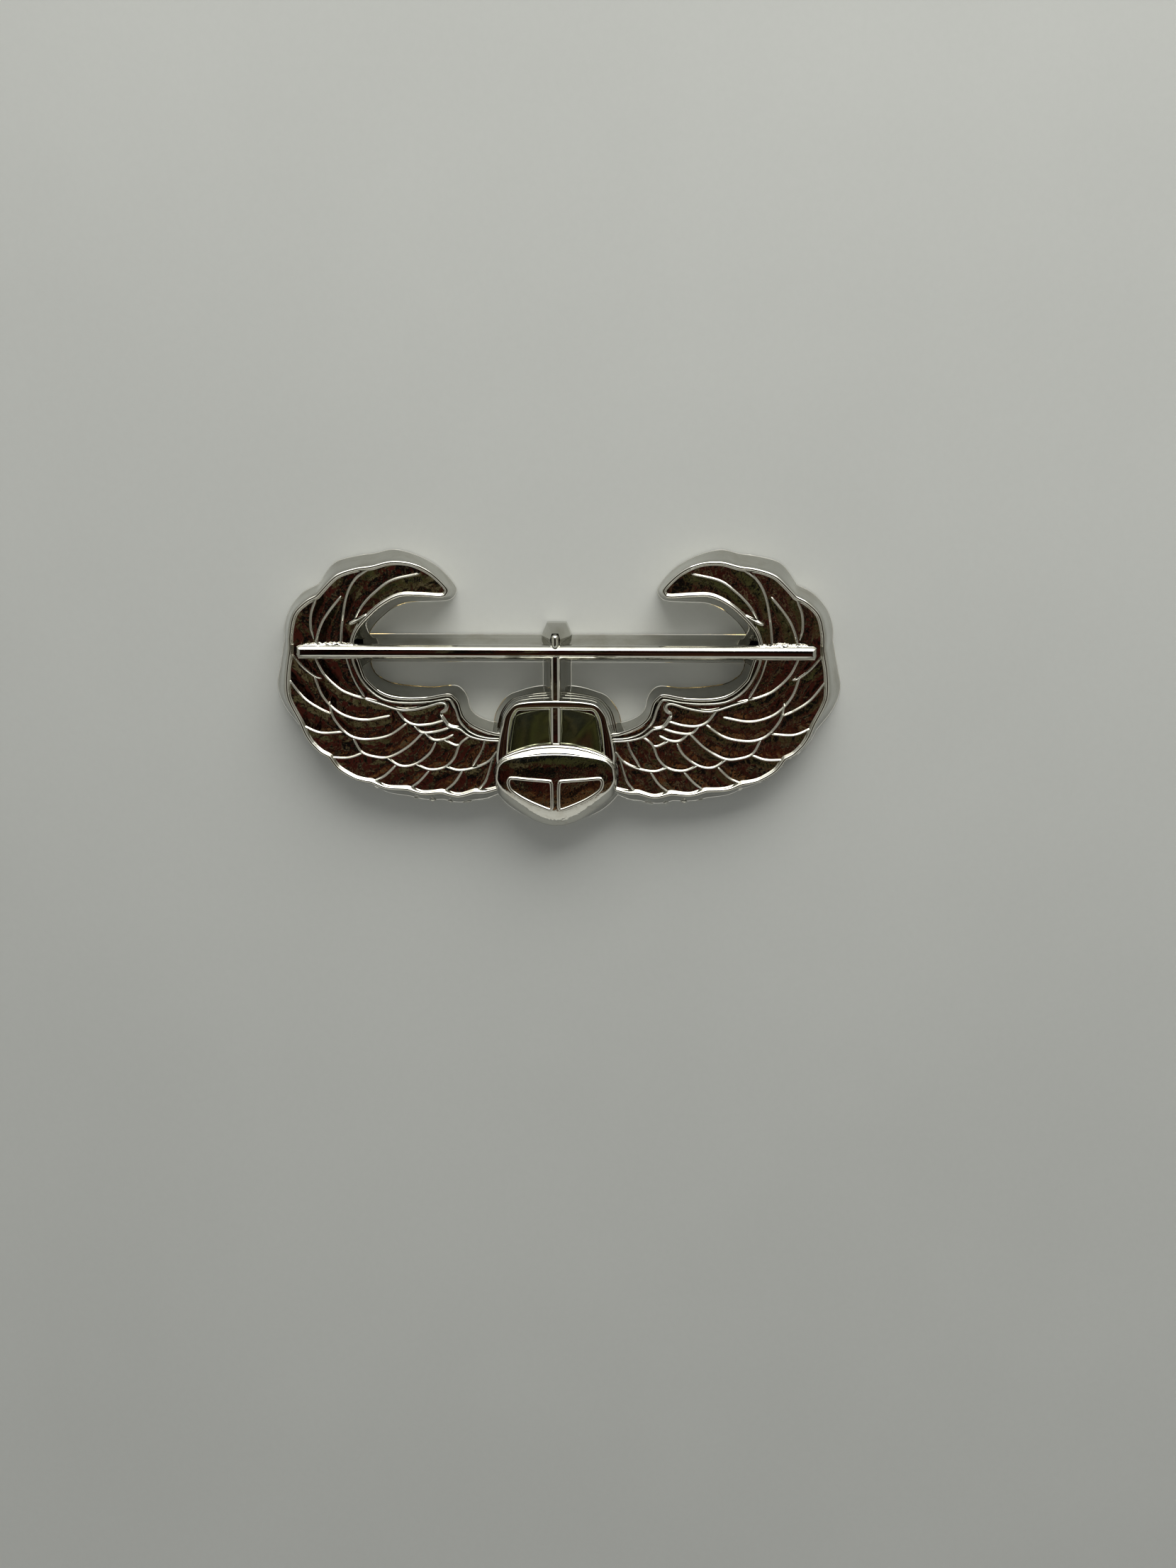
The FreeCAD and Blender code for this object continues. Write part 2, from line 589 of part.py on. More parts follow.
def ear(x, y, side):
    """A squeeze ear, its bar past the post and the jaw on the post's far side. side is 1 or -1 along x."""
    root = pivot_level()
    jaw = -(CLUTCH_GAP + CLUTCH_SHEET + JAW_HEIGHT)
    tip = root - EAR_HEIGHT
    knee = root - EAR_HEIGHT * EAR_KNEE_SHARE
    t = EAR_SHEET
    shift = t * EAR_BEND_SHIFT
    section = [
        (EAR_ROOT - t, root), (EAR_ROOT, root),
        (EAR_ROOT, jaw + t), (EAR_KNEE, knee), (EAR_KNEE, tip),
        (EAR_KNEE - t, tip), (EAR_KNEE - t, knee - shift), (EAR_ROOT - t, jaw - shift),
    ]
    points = [V(px, -EAR_WIDTH / 2, level) for px, level in section]
    plate = Part.Face(Part.makePolygon(points + [points[0]])).extrude(V(0, EAR_WIDTH, 0))
    for corner in (-1, 1):
        plate = plate.cut(corner_tool(corner, tip))
    inner = POST_RADIUS + JAW_CLEARANCE + JAW_SIDE_GAP
    jaw_back = POST_RADIUS + JAW_DEPTH
    bite = POST_RADIUS + JAW_CLEARANCE
    arm_bar = Part.makeBox(EAR_ROOT + jaw_back, JAW_BAR_WIDTH, t, V(-jaw_back, inner, jaw))
    jaw_length = jaw_back - JAW_SIDE_GAP / 2
    jaw_width = 2 * inner - JAW_SIDE_GAP
    jaw_plate = Part.makeBox(jaw_length, jaw_width, t, V(-jaw_back, -inner + JAW_SIDE_GAP, jaw))
    seat = Part.makeCylinder(bite, 4 * t, V(0, 0, jaw - t))
    slot = Part.makeBox(jaw_back, 2 * bite, 4 * t, V(0, -bite, jaw - t))
    shape = plate.fuse(arm_bar.fuse(jaw_plate)).cut(seat).cut(slot).removeSplitter()
    if side < 0:
        shape.rotate(V(0, 0, 0), V(0, 0, 1), 180)
    shape.translate(V(x, y, 0))
    return shape


def corner_tool(side, tip):
    """Rounds one end corner of an ear."""
    edge = side * EAR_WIDTH / 2
    low = min(edge, edge - side * EAR_CORNER)
    block = Part.makeBox(EAR_KNEE * 2, EAR_CORNER, EAR_CORNER, V(0, low, tip))
    centre = V(0, edge - side * EAR_CORNER, tip + EAR_CORNER)
    disc = Part.makeCylinder(EAR_CORNER, EAR_KNEE * 2, centre, V(1, 0, 0))
    return block.cut(disc)


def all_parts():
    left, right = post_places()
    wing = wing_left()
    windscreen = windscreen_left()
    chin = chin_window_left()
    parts = {
        "back_plate": back_plate(),
        "wing_left": wing,
        "wing_right": mirrored(wing),
        "rotor_blade": rotor_blade(),
        "mast": mast(),
        "rotor_hub": rotor_hub(),
        "cabin_frame": cabin_frame(),
        "windscreen_left": windscreen,
        "windscreen_right": mirrored(windscreen),
        "brow_band": brow_band(),
        "nose_cone": nose_cone(),
        "chin_window_left": chin,
        "chin_window_right": mirrored(chin),
    }
    for name, (x, y) in (("left", left), ("right", right)):
        parts[f"post_{name}"] = post(x, y)
        parts[f"clutch_plate_{name}"] = clutch_plate(x, y)
        parts[f"clutch_cap_{name}"] = clutch_cap(x, y)
        parts[f"ear_outer_{name}"] = ear(x, y, -1 if name == "left" else 1)
        parts[f"ear_inner_{name}"] = ear(x, y, 1 if name == "left" else -1)
    return parts


def main():
    os.makedirs("parts", exist_ok=True)
    for name, shape in all_parts().items():
        shape.rotate(V(0, 0, 0), V(1, 0, 0), 90)
        shape.exportStep(f"parts/{name}.step")
        box = shape.BoundBox
        print(f"{name}: {len(shape.Solids)} solid, {shape.Volume:.3f} mm3, valid {shape.isValid()}")
        print(f"    x {box.XMin:.2f} {box.XMax:.2f} y {box.YMin:.2f} {box.YMax:.2f} z {box.ZMin:.2f} {box.ZMax:.2f}")


main()
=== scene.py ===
"""Looks of the helicopter-front pilot wings pin, built round the fixed design frame.

The badge is drawn lying flat (x to the right, y up the badge, h out of its face, in millimetres) and each
finished surface is stood up into the frame, where the face looks towards -Y. All relief is polished plated
metal; the posts and squeeze clutches behind are worn steel and brass.
"""
import logging
import math
from dataclasses import dataclass, field
from enum import Enum
from typing import Sequence

import bpy
import numpy as np
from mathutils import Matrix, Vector


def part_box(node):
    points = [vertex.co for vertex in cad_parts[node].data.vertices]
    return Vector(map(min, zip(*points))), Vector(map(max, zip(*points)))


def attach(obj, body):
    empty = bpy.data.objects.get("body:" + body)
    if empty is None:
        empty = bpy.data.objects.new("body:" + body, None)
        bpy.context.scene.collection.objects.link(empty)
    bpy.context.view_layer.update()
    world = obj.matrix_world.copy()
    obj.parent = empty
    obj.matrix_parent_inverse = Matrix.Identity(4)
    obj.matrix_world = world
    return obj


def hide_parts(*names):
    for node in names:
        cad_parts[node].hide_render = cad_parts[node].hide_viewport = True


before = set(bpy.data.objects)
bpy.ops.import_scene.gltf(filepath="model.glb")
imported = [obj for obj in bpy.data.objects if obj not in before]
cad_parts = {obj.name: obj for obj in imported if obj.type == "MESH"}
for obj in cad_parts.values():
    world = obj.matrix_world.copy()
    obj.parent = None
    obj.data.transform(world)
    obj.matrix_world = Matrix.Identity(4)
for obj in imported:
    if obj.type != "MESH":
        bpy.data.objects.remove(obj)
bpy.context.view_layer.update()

log = logging.getLogger("wings_pin")

Array = np.ndarray
MM = 0.001
UM = 1e-6
NOMINAL_SPAN = 38.9          # width of the drawn outlines
NOMINAL_HEIGHT = 19.05       # height of the drawn outlines
ROTOR_LINE = 0.34            # height of the rotor line in the drawn outlines
ROOT = "badge"

# Left wing outline, counted round from the tip: x and y at the back face, x and y at the top of the rim.
# A True ends a feather there, so the outline has a corner; elsewhere it runs smoothly.
WING_ROWS: list[tuple[float, float, float, float, bool]] = [
    (-6.93, 4.57, -7.20, 4.62, False), (-8.00, 5.79, -8.25, 5.62, False),
    (-9.43, 6.60, -9.50, 6.20, False), (-11.00, 7.00, -10.86, 6.30, False),
    (-12.30, 6.75, -12.14, 6.00, False), (-13.14, 6.64, -13.14, 5.86, False),
    (-14.50, 6.36, -14.20, 5.55, False), (-15.30, 5.93, -14.86, 5.14, False),
    (-16.20, 4.70, -15.93, 4.07, True), (-17.36, 4.07, -16.70, 3.65, False),
    (-18.30, 3.00, -17.50, 2.85, False), (-18.75, 1.86, -17.86, 1.60, False),
    (-18.80, 0.86, -17.93, 0.43, True), (-19.20, -1.00, -18.20, -1.00, False),
    (-19.45, -2.43, -18.29, -2.29, False), (-18.98, -3.86, -18.14, -3.14, False),
    (-17.93, -5.29, -17.50, -4.50, True), (-17.60, -6.00, -17.15, -5.40, False),
    (-17.14, -6.57, -16.79, -6.00, True), (-16.60, -7.10, -16.20, -6.60, False),
    (-15.93, -7.43, -15.60, -6.95, True), (-15.40, -8.15, -15.00, -7.76, False),
    (-14.40, -8.90, -14.00, -8.40, False), (-13.57, -9.28, -13.20, -8.65, False),
    (-12.90, -9.50, -12.79, -8.71, True), (-11.90, -9.95, -11.70, -9.13, False),
    (-10.50, -10.17, -10.30, -9.21, True), (-9.40, -10.40, -9.20, -9.52, False),
    (-8.10, -10.40, -7.90, -9.43, True), (-7.00, -10.60, -6.75, -9.68, False),
    (-5.70, -10.40, -5.60, -9.40, True), (-5.00, -10.30, -4.86, -9.38, False),
    (-4.00, -9.90, -3.93, -9.14, True), (-3.50, -9.80, -3.50, -9.00, False),
    (-3.00, -9.70, -3.00, -8.86, True), (-3.00, -7.20, -3.00, -7.20, False),
    (-3.00, -4.90, -3.00, -5.20, True), (-4.20, -4.85, -4.20, -5.16, False),
    (-5.30, -4.52, -5.50, -4.66, False), (-6.00, -3.95, -6.20, -4.05, False),
    (-6.21, -3.14, -6.50, -3.15, False), (-6.50, -2.60, -6.80, -2.75, False),
    (-7.10, -2.25, -7.30, -2.50, False), (-8.60, -2.37, -8.80, -2.74, False),
    (-10.30, -2.27, -10.60, -2.74, False), (-11.60, -2.05, -11.80, -2.38, False),
    (-12.43, -1.57, -12.71, -1.57, False), (-12.70, -1.20, -12.97, -1.00, False),
    (-12.85, -0.75, -13.20, -0.25, False), (-12.90, 0.20, -13.40, 0.30, False),
    (-12.90, 1.21, -13.57, 0.86, False), (-12.50, 1.90, -13.20, 1.80, False),
    (-11.90, 2.50, -12.29, 2.79, False), (-11.10, 3.08, -11.40, 3.50, False),
    (-10.10, 3.42, -10.30, 4.00, False), (-8.90, 3.48, -9.00, 4.02, False),
    (-7.43, 3.57, -7.60, 3.95, False), (-6.90, 3.98, -7.20, 4.14, False),
]

# Feather edges of the left wing, each from its root to where it runs out
FEATHERS: list[list[tuple[float, float]]] = [
    [(-9.00, 5.50), (-10.86, 5.07), (-12.00, 4.29), (-12.86, 3.43), (-13.43, 2.50)],
    [(-12.29, 5.86), (-13.29, 5.14), (-13.93, 4.00), (-14.29, 2.29), (-14.43, 1.00), (-14.40, 0.20)],
    [(-14.29, 4.00), (-15.14, 3.00), (-15.71, 2.14), (-16.07, 1.14), (-16.15, 0.30)],
    [(-16.00, 3.80), (-16.36, 2.86), (-16.43, 1.86), (-16.26, 1.14)],
    [(-17.89, 0.24), (-17.14, -0.71), (-16.36, -1.36), (-15.86, -1.54)],
    [(-16.29, 0.00), (-15.71, -1.21), (-14.71, -2.21), (-13.86, -2.64), (-13.00, -2.89)],
    [(-14.14, 0.00), (-13.71, -1.43), (-13.00, -2.79)],
    [(-16.36, -1.36), (-15.86, -2.71), (-15.00, -3.71), (-14.00, -4.21), (-12.86, -4.36), (-11.29, -4.07)],
    [(-18.20, -1.50), (-17.14, -2.86), (-16.14, -3.57), (-15.29, -3.97)],
    [(-15.40, -3.10), (-15.21, -4.14), (-14.57, -5.07), (-13.86, -5.57), (-12.86, -5.71), (-11.43, -5.43),
     (-10.14, -4.57)],
    [(-17.45, -4.70), (-16.14, -5.26), (-14.57, -5.21)],
    [(-13.90, -5.60), (-13.36, -6.57), (-12.43, -6.93), (-11.43, -6.93), (-10.14, -6.21), (-9.00, -5.14)],
    [(-15.65, -6.98), (-14.29, -7.00), (-13.29, -6.67)],
    [(-11.65, -6.95), (-10.71, -7.54), (-9.71, -7.43), (-8.71, -6.71), (-8.21, -5.86)],
    [(-12.85, -8.75), (-11.86, -8.29), (-11.00, -7.50)],
    [(-9.70, -7.40), (-8.71, -7.79), (-7.71, -7.64), (-7.00, -7.00), (-6.57, -6.00), (-5.86, -5.43)],
    [(-10.20, -9.22), (-9.43, -8.64), (-8.71, -7.86)],
    [(-7.65, -7.55), (-6.71, -7.83), (-5.57, -7.64), (-4.57, -7.14), (-4.00, -6.43)],
    [(-7.90, -9.44), (-7.07, -8.79), (-6.43, -7.86)],
    [(-5.60, -9.42), (-4.86, -8.57), (-4.29, -6.86)],
    [(-4.79, -5.60), (-5.07, -6.43), (-5.50, -7.14), (-5.75, -7.60)],
    [(-10.86, -3.60), (-10.29, -4.36), (-9.57, -4.69), (-8.57, -4.64), (-7.57, -4.36)],
    [(-9.71, -4.70), (-9.14, -5.21), (-8.14, -5.14), (-7.21, -4.86)],
    [(-9.05, -5.15), (-8.43, -5.69), (-7.71, -5.69), (-7.00, -5.36)],
    [(-7.70, -5.70), (-6.93, -6.07), (-6.60, -6.05)],
]
# Wider ridges of the left wing: the arm, its curl and the inner line of the double edge
ARM_RIDGES: list[list[tuple[float, float]]] = [
    [(-13.00, -2.89), (-12.00, -3.20), (-10.86, -3.57), (-10.00, -3.64), (-8.86, -3.43), (-7.86, -3.14),
     (-7.43, -3.29), (-7.50, -3.65), (-7.86, -3.86)],
    [(-7.86, -3.93), (-7.29, -4.71), (-6.57, -4.93), (-5.86, -5.43), (-4.86, -5.68), (-3.60, -5.75)],
    [(-13.66, 0.10), (-13.60, -0.50), (-13.14, -1.57), (-12.43, -2.43), (-11.43, -3.00), (-10.00, -3.14),
     (-8.57, -3.07), (-7.57, -2.89), (-7.14, -2.93), (-6.79, -3.57), (-6.50, -4.43), (-5.86, -5.14),
     (-4.86, -5.52), (-3.60, -5.60)],
    [(-13.86, 2.14), (-13.20, 2.45), (-12.57, 2.79)],
]

# Half outline of the cabin, left side: at the back face, at the frame's outer edge, at the frame's opening
CABIN_ROWS: list[tuple[float, ...]] = [
    (-4.55, -7.60, -3.95, -7.45, -3.30, -7.30), (-4.62, -6.90, -4.02, -6.85, -3.36, -6.80),
    (-4.56, -6.20, -3.95, -6.20, -3.32, -6.25), (-4.50, -5.50, -3.80, -5.40, -3.25, -5.35),
    (-4.42, -4.71, -3.62, -4.70, -3.15, -4.60), (-4.12, -3.84, -3.38, -3.85, -2.99, -3.95),
    (-3.45, -2.98, -2.78, -3.17, -2.62, -3.42), (-2.58, -2.60, -2.00, -2.95, -1.90, -3.33),
    (-1.45, -2.30, -1.00, -2.88, -1.00, -3.29), (0.00, -2.20, 0.00, -2.86, 0.00, -3.28),
]
# Half outline of the nose, left side: at the back face, at the lip's foot and at the edge of its face
NOSE_ROWS: list[tuple[float, ...]] = [
    (0.00, -6.20, 0.00, -6.30, 0.00, -6.44), (-2.20, -6.25, -2.00, -6.40, -1.80, -6.56),
    (-3.90, -6.45, -3.40, -6.65, -3.22, -6.84), (-4.55, -7.10, -4.02, -7.15, -3.82, -7.29),
    (-4.72, -7.90, -4.20, -7.90, -3.98, -7.95), (-4.68, -8.70, -4.20, -8.60, -3.95, -8.35),
    (-4.50, -9.45, -4.06, -9.15, -3.64, -8.84), (-4.10, -10.15, -3.75, -9.65, -3.07, -9.28),
    (-3.25, -10.98, -2.70, -10.50, -2.05, -9.90), (-2.00, -11.62, -1.35, -11.33, -1.00, -10.36),
    (0.00, -12.05, 0.00, -11.65, 0.00, -10.56),
]
WINDSCREEN: list[tuple[float, float]] = [
    (-0.42, -3.58), (-1.40, -3.61), (-2.25, -3.77), (-2.58, -3.90), (-2.76, -4.15), (-2.97, -5.30),
    (-3.10, -6.45), (-3.05, -6.80), (-1.85, -6.60), (-0.42, -6.45), (-0.42, -4.80),
]
CHIN_WINDOW: list[tuple[float, float]] = [
    (-0.47, -8.27), (-1.80, -8.17), (-2.90, -8.08), (-3.13, -8.20), (-3.17, -8.50), (-2.98, -8.92),
    (-2.30, -9.42), (-1.45, -9.85), (-0.45, -10.25), (-0.27, -10.17), (-0.23, -9.95), (-0.23, -9.20),
    (-0.25, -8.60), (-0.31, -8.36),
]
# The knob behind the blade, left side, as straight edges: at the back face and round its top
HUB_ROWS: list[tuple[float, ...]] = [
    (-0.40, 0.55, -0.28, 0.66), (-1.03, 1.31, -0.33, 1.22), (-0.67, 2.15, -0.22, 1.60),
]


class Slot(Enum):
    """Material slots of the record."""

    BADGE = "badge_metal"
    WINDOW = "window_metal"
    POST = "post_metal"
    CLUTCH = "clutch_metal"
    EAR = "ear_metal"


class Side(Enum):
    """The badge's two sides as seen from its face."""

    LEFT = -1
    RIGHT = 1

    @property
    def word(self) -> str:
        """The word used in piece names."""
        return "left" if self is Side.LEFT else "right"


class Cap(Enum):
    """How the open end of a carried profile is closed."""

    OPEN = 0
    FLAT = 1
    POLE = 2


# --- surfaces worked out with numpy -------------------------------------------------------------------


def node_box(node: str) -> tuple[Array, Array]:
    """Lowest and highest corner of a frame node, in flat millimetres (right, up, out of the face)."""
    low, high = (np.array(corner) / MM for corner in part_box(node))
    return np.array([low[0], low[2], -high[1]]), np.array([high[0], high[2], -low[1]])


def top_of(node: str) -> float:
    """Highest level of a frame node above the back face, in millimetres."""
    return float(node_box(node)[1][2])


def centre_of(node: str) -> Array:
    """Middle of a frame node as seen from the front, in flat millimetres."""
    low, high = node_box(node)
    return (low[:2] + high[:2]) / 2


def drawn(points: Sequence[Sequence[float]]) -> Array:
    """Drawn points at the badge's real size with the rotor line at zero.

    Formula: x times the plate's width over the drawn width, and height above the rotor line times the
    plate's height over the drawn height, for each pair of columns.

    Args:
        points: rows of x, y or of x, y, x, y.
    Returns:
        The rows as an array of the same shape.
    """
    low, high = node_box("back_plate")
    grid = np.array(points, dtype=float)
    grid[:, 0::2] *= (high[0] - low[0]) / NOMINAL_SPAN
    grid[:, 1::2] = (grid[:, 1::2] - ROTOR_LINE) * (high[1] - low[1]) / NOMINAL_HEIGHT
    return grid


def smooth_run(points: Array, steps: int, closed: bool = False) -> Array:
    """A smooth curve through points.

    Formula: a Catmull-Rom cubic on each span, whose tangents are half the chord between the neighbours.

    Args:
        points: the points, one a row, with any number of columns.
        steps: samples on each span.
        closed: whether the last point runs on into the first.
    Returns:
        The samples; an open run also has its last point.
    """
    if closed:
        before, here = np.roll(points, 1, axis=0), points
        after, beyond = np.roll(points, -1, axis=0), np.roll(points, -2, axis=0)
    else:
        padded = np.vstack([2 * points[0] - points[1], points, 2 * points[-1] - points[-2]])
        before, here, after, beyond = padded[:-3], padded[1:-2], padded[2:-1], padded[3:]
    t = np.linspace(0, 1, steps, endpoint=False)[None, :, None]
    a, b, c, d = (array[:, None, :] for array in (before, here, after, beyond))
    curve = 0.5 * (2 * b + (c - a) * t + (2 * a - 5 * b + 4 * c - d) * t**2 + (3 * b - a - 3 * c + d) * t**3)
    samples = curve.reshape(-1, points.shape[1])
    return samples if closed else np.vstack([samples, points[-1]])


def cornered_run(points: Array, corners: Sequence[int], steps: int) -> Array:
    """A closed curve that is smooth between its corners.

    Args:
        points: the points, one a row.
        corners: indices of the points where the curve may turn sharply.
        steps: samples on each span.
    Returns:
        The samples of the closed curve.
    """
    turned = np.roll(points, -corners[0], axis=0)
    stops = [(c - corners[0]) % len(points) for c in corners] + [len(points)]
    ring = np.vstack([turned, turned[:1]])
    runs = [smooth_run(ring[a : b + 1], steps)[:-1] for a, b in zip(stops[:-1], stops[1:])]
    return np.vstack(runs)


def walked(path: Array) -> Array:
    """Length along an open path up to each of its points."""
    return np.concatenate([[0], np.cumsum(np.linalg.norm(np.diff(path, axis=0), axis=1))])


def left_of(path: Array) -> Array:
    """Unit vectors square to an open flat path, pointing to its left."""
    tangent = np.gradient(path, axis=0)
    tangent /= np.linalg.norm(tangent, axis=1, keepdims=True) + 1e-12
    return np.stack([-tangent[:, 1], tangent[:, 0]], axis=1)


def even_run(points: Array, step: float) -> Array:
    """An open curve resampled at an even step along its length."""
    lengths = walked(points)
    count = max(4, int(lengths[-1] / step) + 1)
    at = np.linspace(0, lengths[-1], count)
    return np.stack([np.interp(at, lengths, points[:, k]) for k in range(points.shape[1])], axis=1)


def turned_area(ring: Array) -> float:
    """Signed area of a flat ring: positive when it runs anticlockwise."""
    x, y = ring[:, 0], ring[:, 1]
    return 0.5 * float(np.sum(x * np.roll(y, -1) - np.roll(x, -1) * y))


def inward(ring: Array) -> Array:
    """Unit vectors that point into a closed ring, square to the chord between each point's neighbours."""
    chord = np.roll(ring, -1, axis=0) - np.roll(ring, 1, axis=0)
    chord /= np.linalg.norm(chord, axis=1, keepdims=True) + 1e-12
    side = 1.0 if turned_area(ring) > 0 else -1.0
    return side * np.stack([-chord[:, 1], chord[:, 0]], axis=1)


def flat_rings(ring: Array, profile: Sequence[tuple[float, float]], share: Array | float = 1.0) -> Array:
    """A profile carried round a flat closed ring.

    Formula: ring point plus inward direction times the profile's inset, at the profile's height.

    Args:
        ring: the closed path, points by 2.
        profile: pairs of inset and height.
        share: factor on the inset at each point, under 1 where the ring is too narrow for all of it.
    Returns:
        Rings by points by 3.
    """
    normal = inward(ring) * np.reshape(share, (-1, 1))
    rows = [np.column_stack([ring + normal * inset, np.full(len(ring), height)]) for inset, height in profile]
    return np.stack(rows)


def room_share(ring: Array, reach: float, steps: int = 14) -> Array:
    """Share of an inward reach that each point of a ring has room for.

    Formula: the largest step inwards that is no nearer to any other part of the ring than to its own
    point, divided by the reach and averaged with its neighbours.

    Args:
        ring: the closed path.
        reach: the full inset.
        steps: number of insets tried.
    Returns:
        One share for each point.
    """
    normal = inward(ring)
    share = np.ones(len(ring))
    for step in np.linspace(1.0, 1.0 / steps, steps):
        moved = ring + normal * reach * step
        gap = np.linalg.norm(moved[:, None] - ring[None], axis=2).min(axis=1)
        share = np.where(gap < 0.9 * reach * step, step - 1.0 / steps, share)
    share = np.maximum(share, 0.15)
    return np.minimum(share, (np.roll(share, 1) + share + np.roll(share, -1)) / 3)


def leaning_rings(base: Array, rim: Array, shares: Array, heights: Array) -> Array:
    """A wall between two matching rings.

    Formula: base plus (rim minus base) times the share, at the row's height.
    """
    flat = base[None] + (rim - base)[None] * shares[:, None, None]
    height = np.broadcast_to(heights[:, None, None], flat.shape[:2] + (1,))
    return np.concatenate([flat, height], axis=2)


def bead(path: Array, width: float, crest: float, foot: float, taper: float = 0.4) -> Array:
    """A tent-shaped ridge carried along an open flat path.

    Formula: across the path, height is foot plus (crest minus foot) times one minus the offset's share of
    the half width to the power 1.3; width and rise shrink towards both ends as a quarter ellipse.

    Args:
        path: points by 2, evenly spaced.
        width: width at the foot.
        crest: height of the ridge line above the back face.
        foot: height of the ridge's foot, below the floor that it stands on.
        taper: length over which an end shrinks.
    Returns:
        Path points by profile points by 3.
    """
    length = walked(path)
    end = np.clip(np.minimum(length, length[-1] - length) / taper, 0, 1)
    size = 0.45 + 0.55 * np.sqrt(1 - (1 - end) ** 2)
    share = np.array([-1.0, -0.72, -0.45, -0.2, -0.06, 0.06, 0.2, 0.45, 0.72, 1.0])
    rise = (crest - foot) * (1 - np.abs(share) ** 1.3)
    across = left_of(path)[:, None, :] * (share * width / 2)[None, :, None] * size[:, None, None]
    flat = path[:, None, :] + across
    height = foot + rise[None, :] * size[:, None]
    return np.concatenate([flat, height[:, :, None]], axis=2)


def turned(radius: Array, height: Array, centre: Array, angle: Array) -> Array:
    """Rows of points at each radius and height, turned about a line square to the badge.

    Formula: centre plus radius times (cosine, sine) of the angle, at the row's height.
    """
    x = centre[0] + radius[:, None] * np.cos(angle)
    y = centre[1] + radius[:, None] * np.sin(angle)
    return np.stack([x, y, np.broadcast_to(height[:, None], x.shape)], axis=2)


def lathe(profile: Sequence[tuple[float, float]], centre: Array, steps: int = 96) -> Array:
    """A profile of (radius, height) pairs turned all the way round."""
    radius, height = np.array(profile).T
    return turned(radius, height, centre, np.linspace(0, 2 * np.pi, steps, endpoint=False))


def below(top: float, *pairs: tuple[float, float]) -> list[tuple[float, float]]:
    """Profile points from pairs of an inset (or half width) and a depth below a top level."""
    return [(inset, top - depth) for inset, depth in pairs]


def rounded_box(half_x: float, half_y: float, corner: float, centre: tuple[float, float],
                steps: int = 6) -> Array:
    """A flat rectangle with round corners, anticlockwise, with its long sides cut into short spans."""
    quarter = np.linspace(0, np.pi / 2, steps)
    arcs = []
    for k, (sx, sy) in enumerate(((1, 1), (-1, 1), (-1, -1), (1, -1))):
        angle = quarter + k * np.pi / 2
        middle = np.array([sx * (half_x - corner), sy * (half_y - corner)])
        arcs.append(middle + corner * np.stack([np.cos(angle), np.sin(angle)], axis=1))
    ring = np.vstack(arcs + [arcs[0][:1]])
    dense = even_run(ring, max(half_x, half_y) / 60)[:-1]
    return dense + np.array(centre)


def inside(ring: Array, points: Array) -> Array:
    """Which points lie inside a flat ring.

    Formula: a point is inside when a line to its right crosses the ring an odd number of times.
    """
    x0, y0 = ring.T
    x1, y1 = np.roll(ring, -1, axis=0).T
    px, py = points[:, 0, None], points[:, 1, None]
    spans = (y0 > py) != (y1 > py)
    slope = (x1 - x0) / np.where(y1 == y0, 1e-12, y1 - y0)
    return (np.sum(spans & (px < x0 + (py - y0) * slope), axis=1) % 2).astype(bool)


def waves(x: Array, y: Array, length: float, seed: int, count: int = 7) -> Array:
    """Soft random undulation between about -1 and 1.

    Formula: the mean of sine waves of nearby lengths and random headings and phases, times 1.6.
    """
    draw = np.random.default_rng(seed)
    total = np.zeros(np.broadcast(x, y).shape)
    for _ in range(count):
        heading, phase = draw.uniform(0, 2 * np.pi, 2)
        pace = 2 * np.pi / (length * draw.uniform(0.6, 1.6))
        total += np.sin(pace * (np.cos(heading) * x + np.sin(heading) * y) + phase)
    return total / count * 1.6


def quads(rows: int, columns: int, wrap_rows: bool, wrap_columns: bool) -> Array:
    """Four corners of each cell of a grid of points, as indices."""
    r = np.arange(rows if wrap_rows else rows - 1)
    c = np.arange(columns if wrap_columns else columns - 1)
    a, b = np.meshgrid(r, c, indexing="ij")
    right, down = (b + 1) % columns, (a + 1) % rows
    corners = [a * columns + b, a * columns + right, down * columns + right, down * columns + b]
    return np.stack(corners, axis=-1).reshape(-1, 4)


def border_of(faces: Array, count: int) -> Array:
    """Edges that only one face of an open sheet has, each in that face's own direction.

    Args:
        faces: four indices for each face.
        count: how many points the indices run over.
    Returns:
        Pairs of indices.
    """
    pairs = np.stack([faces, np.roll(faces, -1, axis=1)], axis=2).reshape(-1, 2)
    key = np.sort(pairs, axis=1) @ np.array([count, 1])
    _, place, seen = np.unique(key, return_index=True, return_counts=True)
    return pairs[place[seen == 1]]


def skirt_of(border: Array, count: int) -> Array:
    """Faces that join a sheet's border to that of a second sheet, whose points come count later."""
    return np.column_stack([border[:, 1], border[:, 0], border[:, 0] + count, border[:, 1] + count])


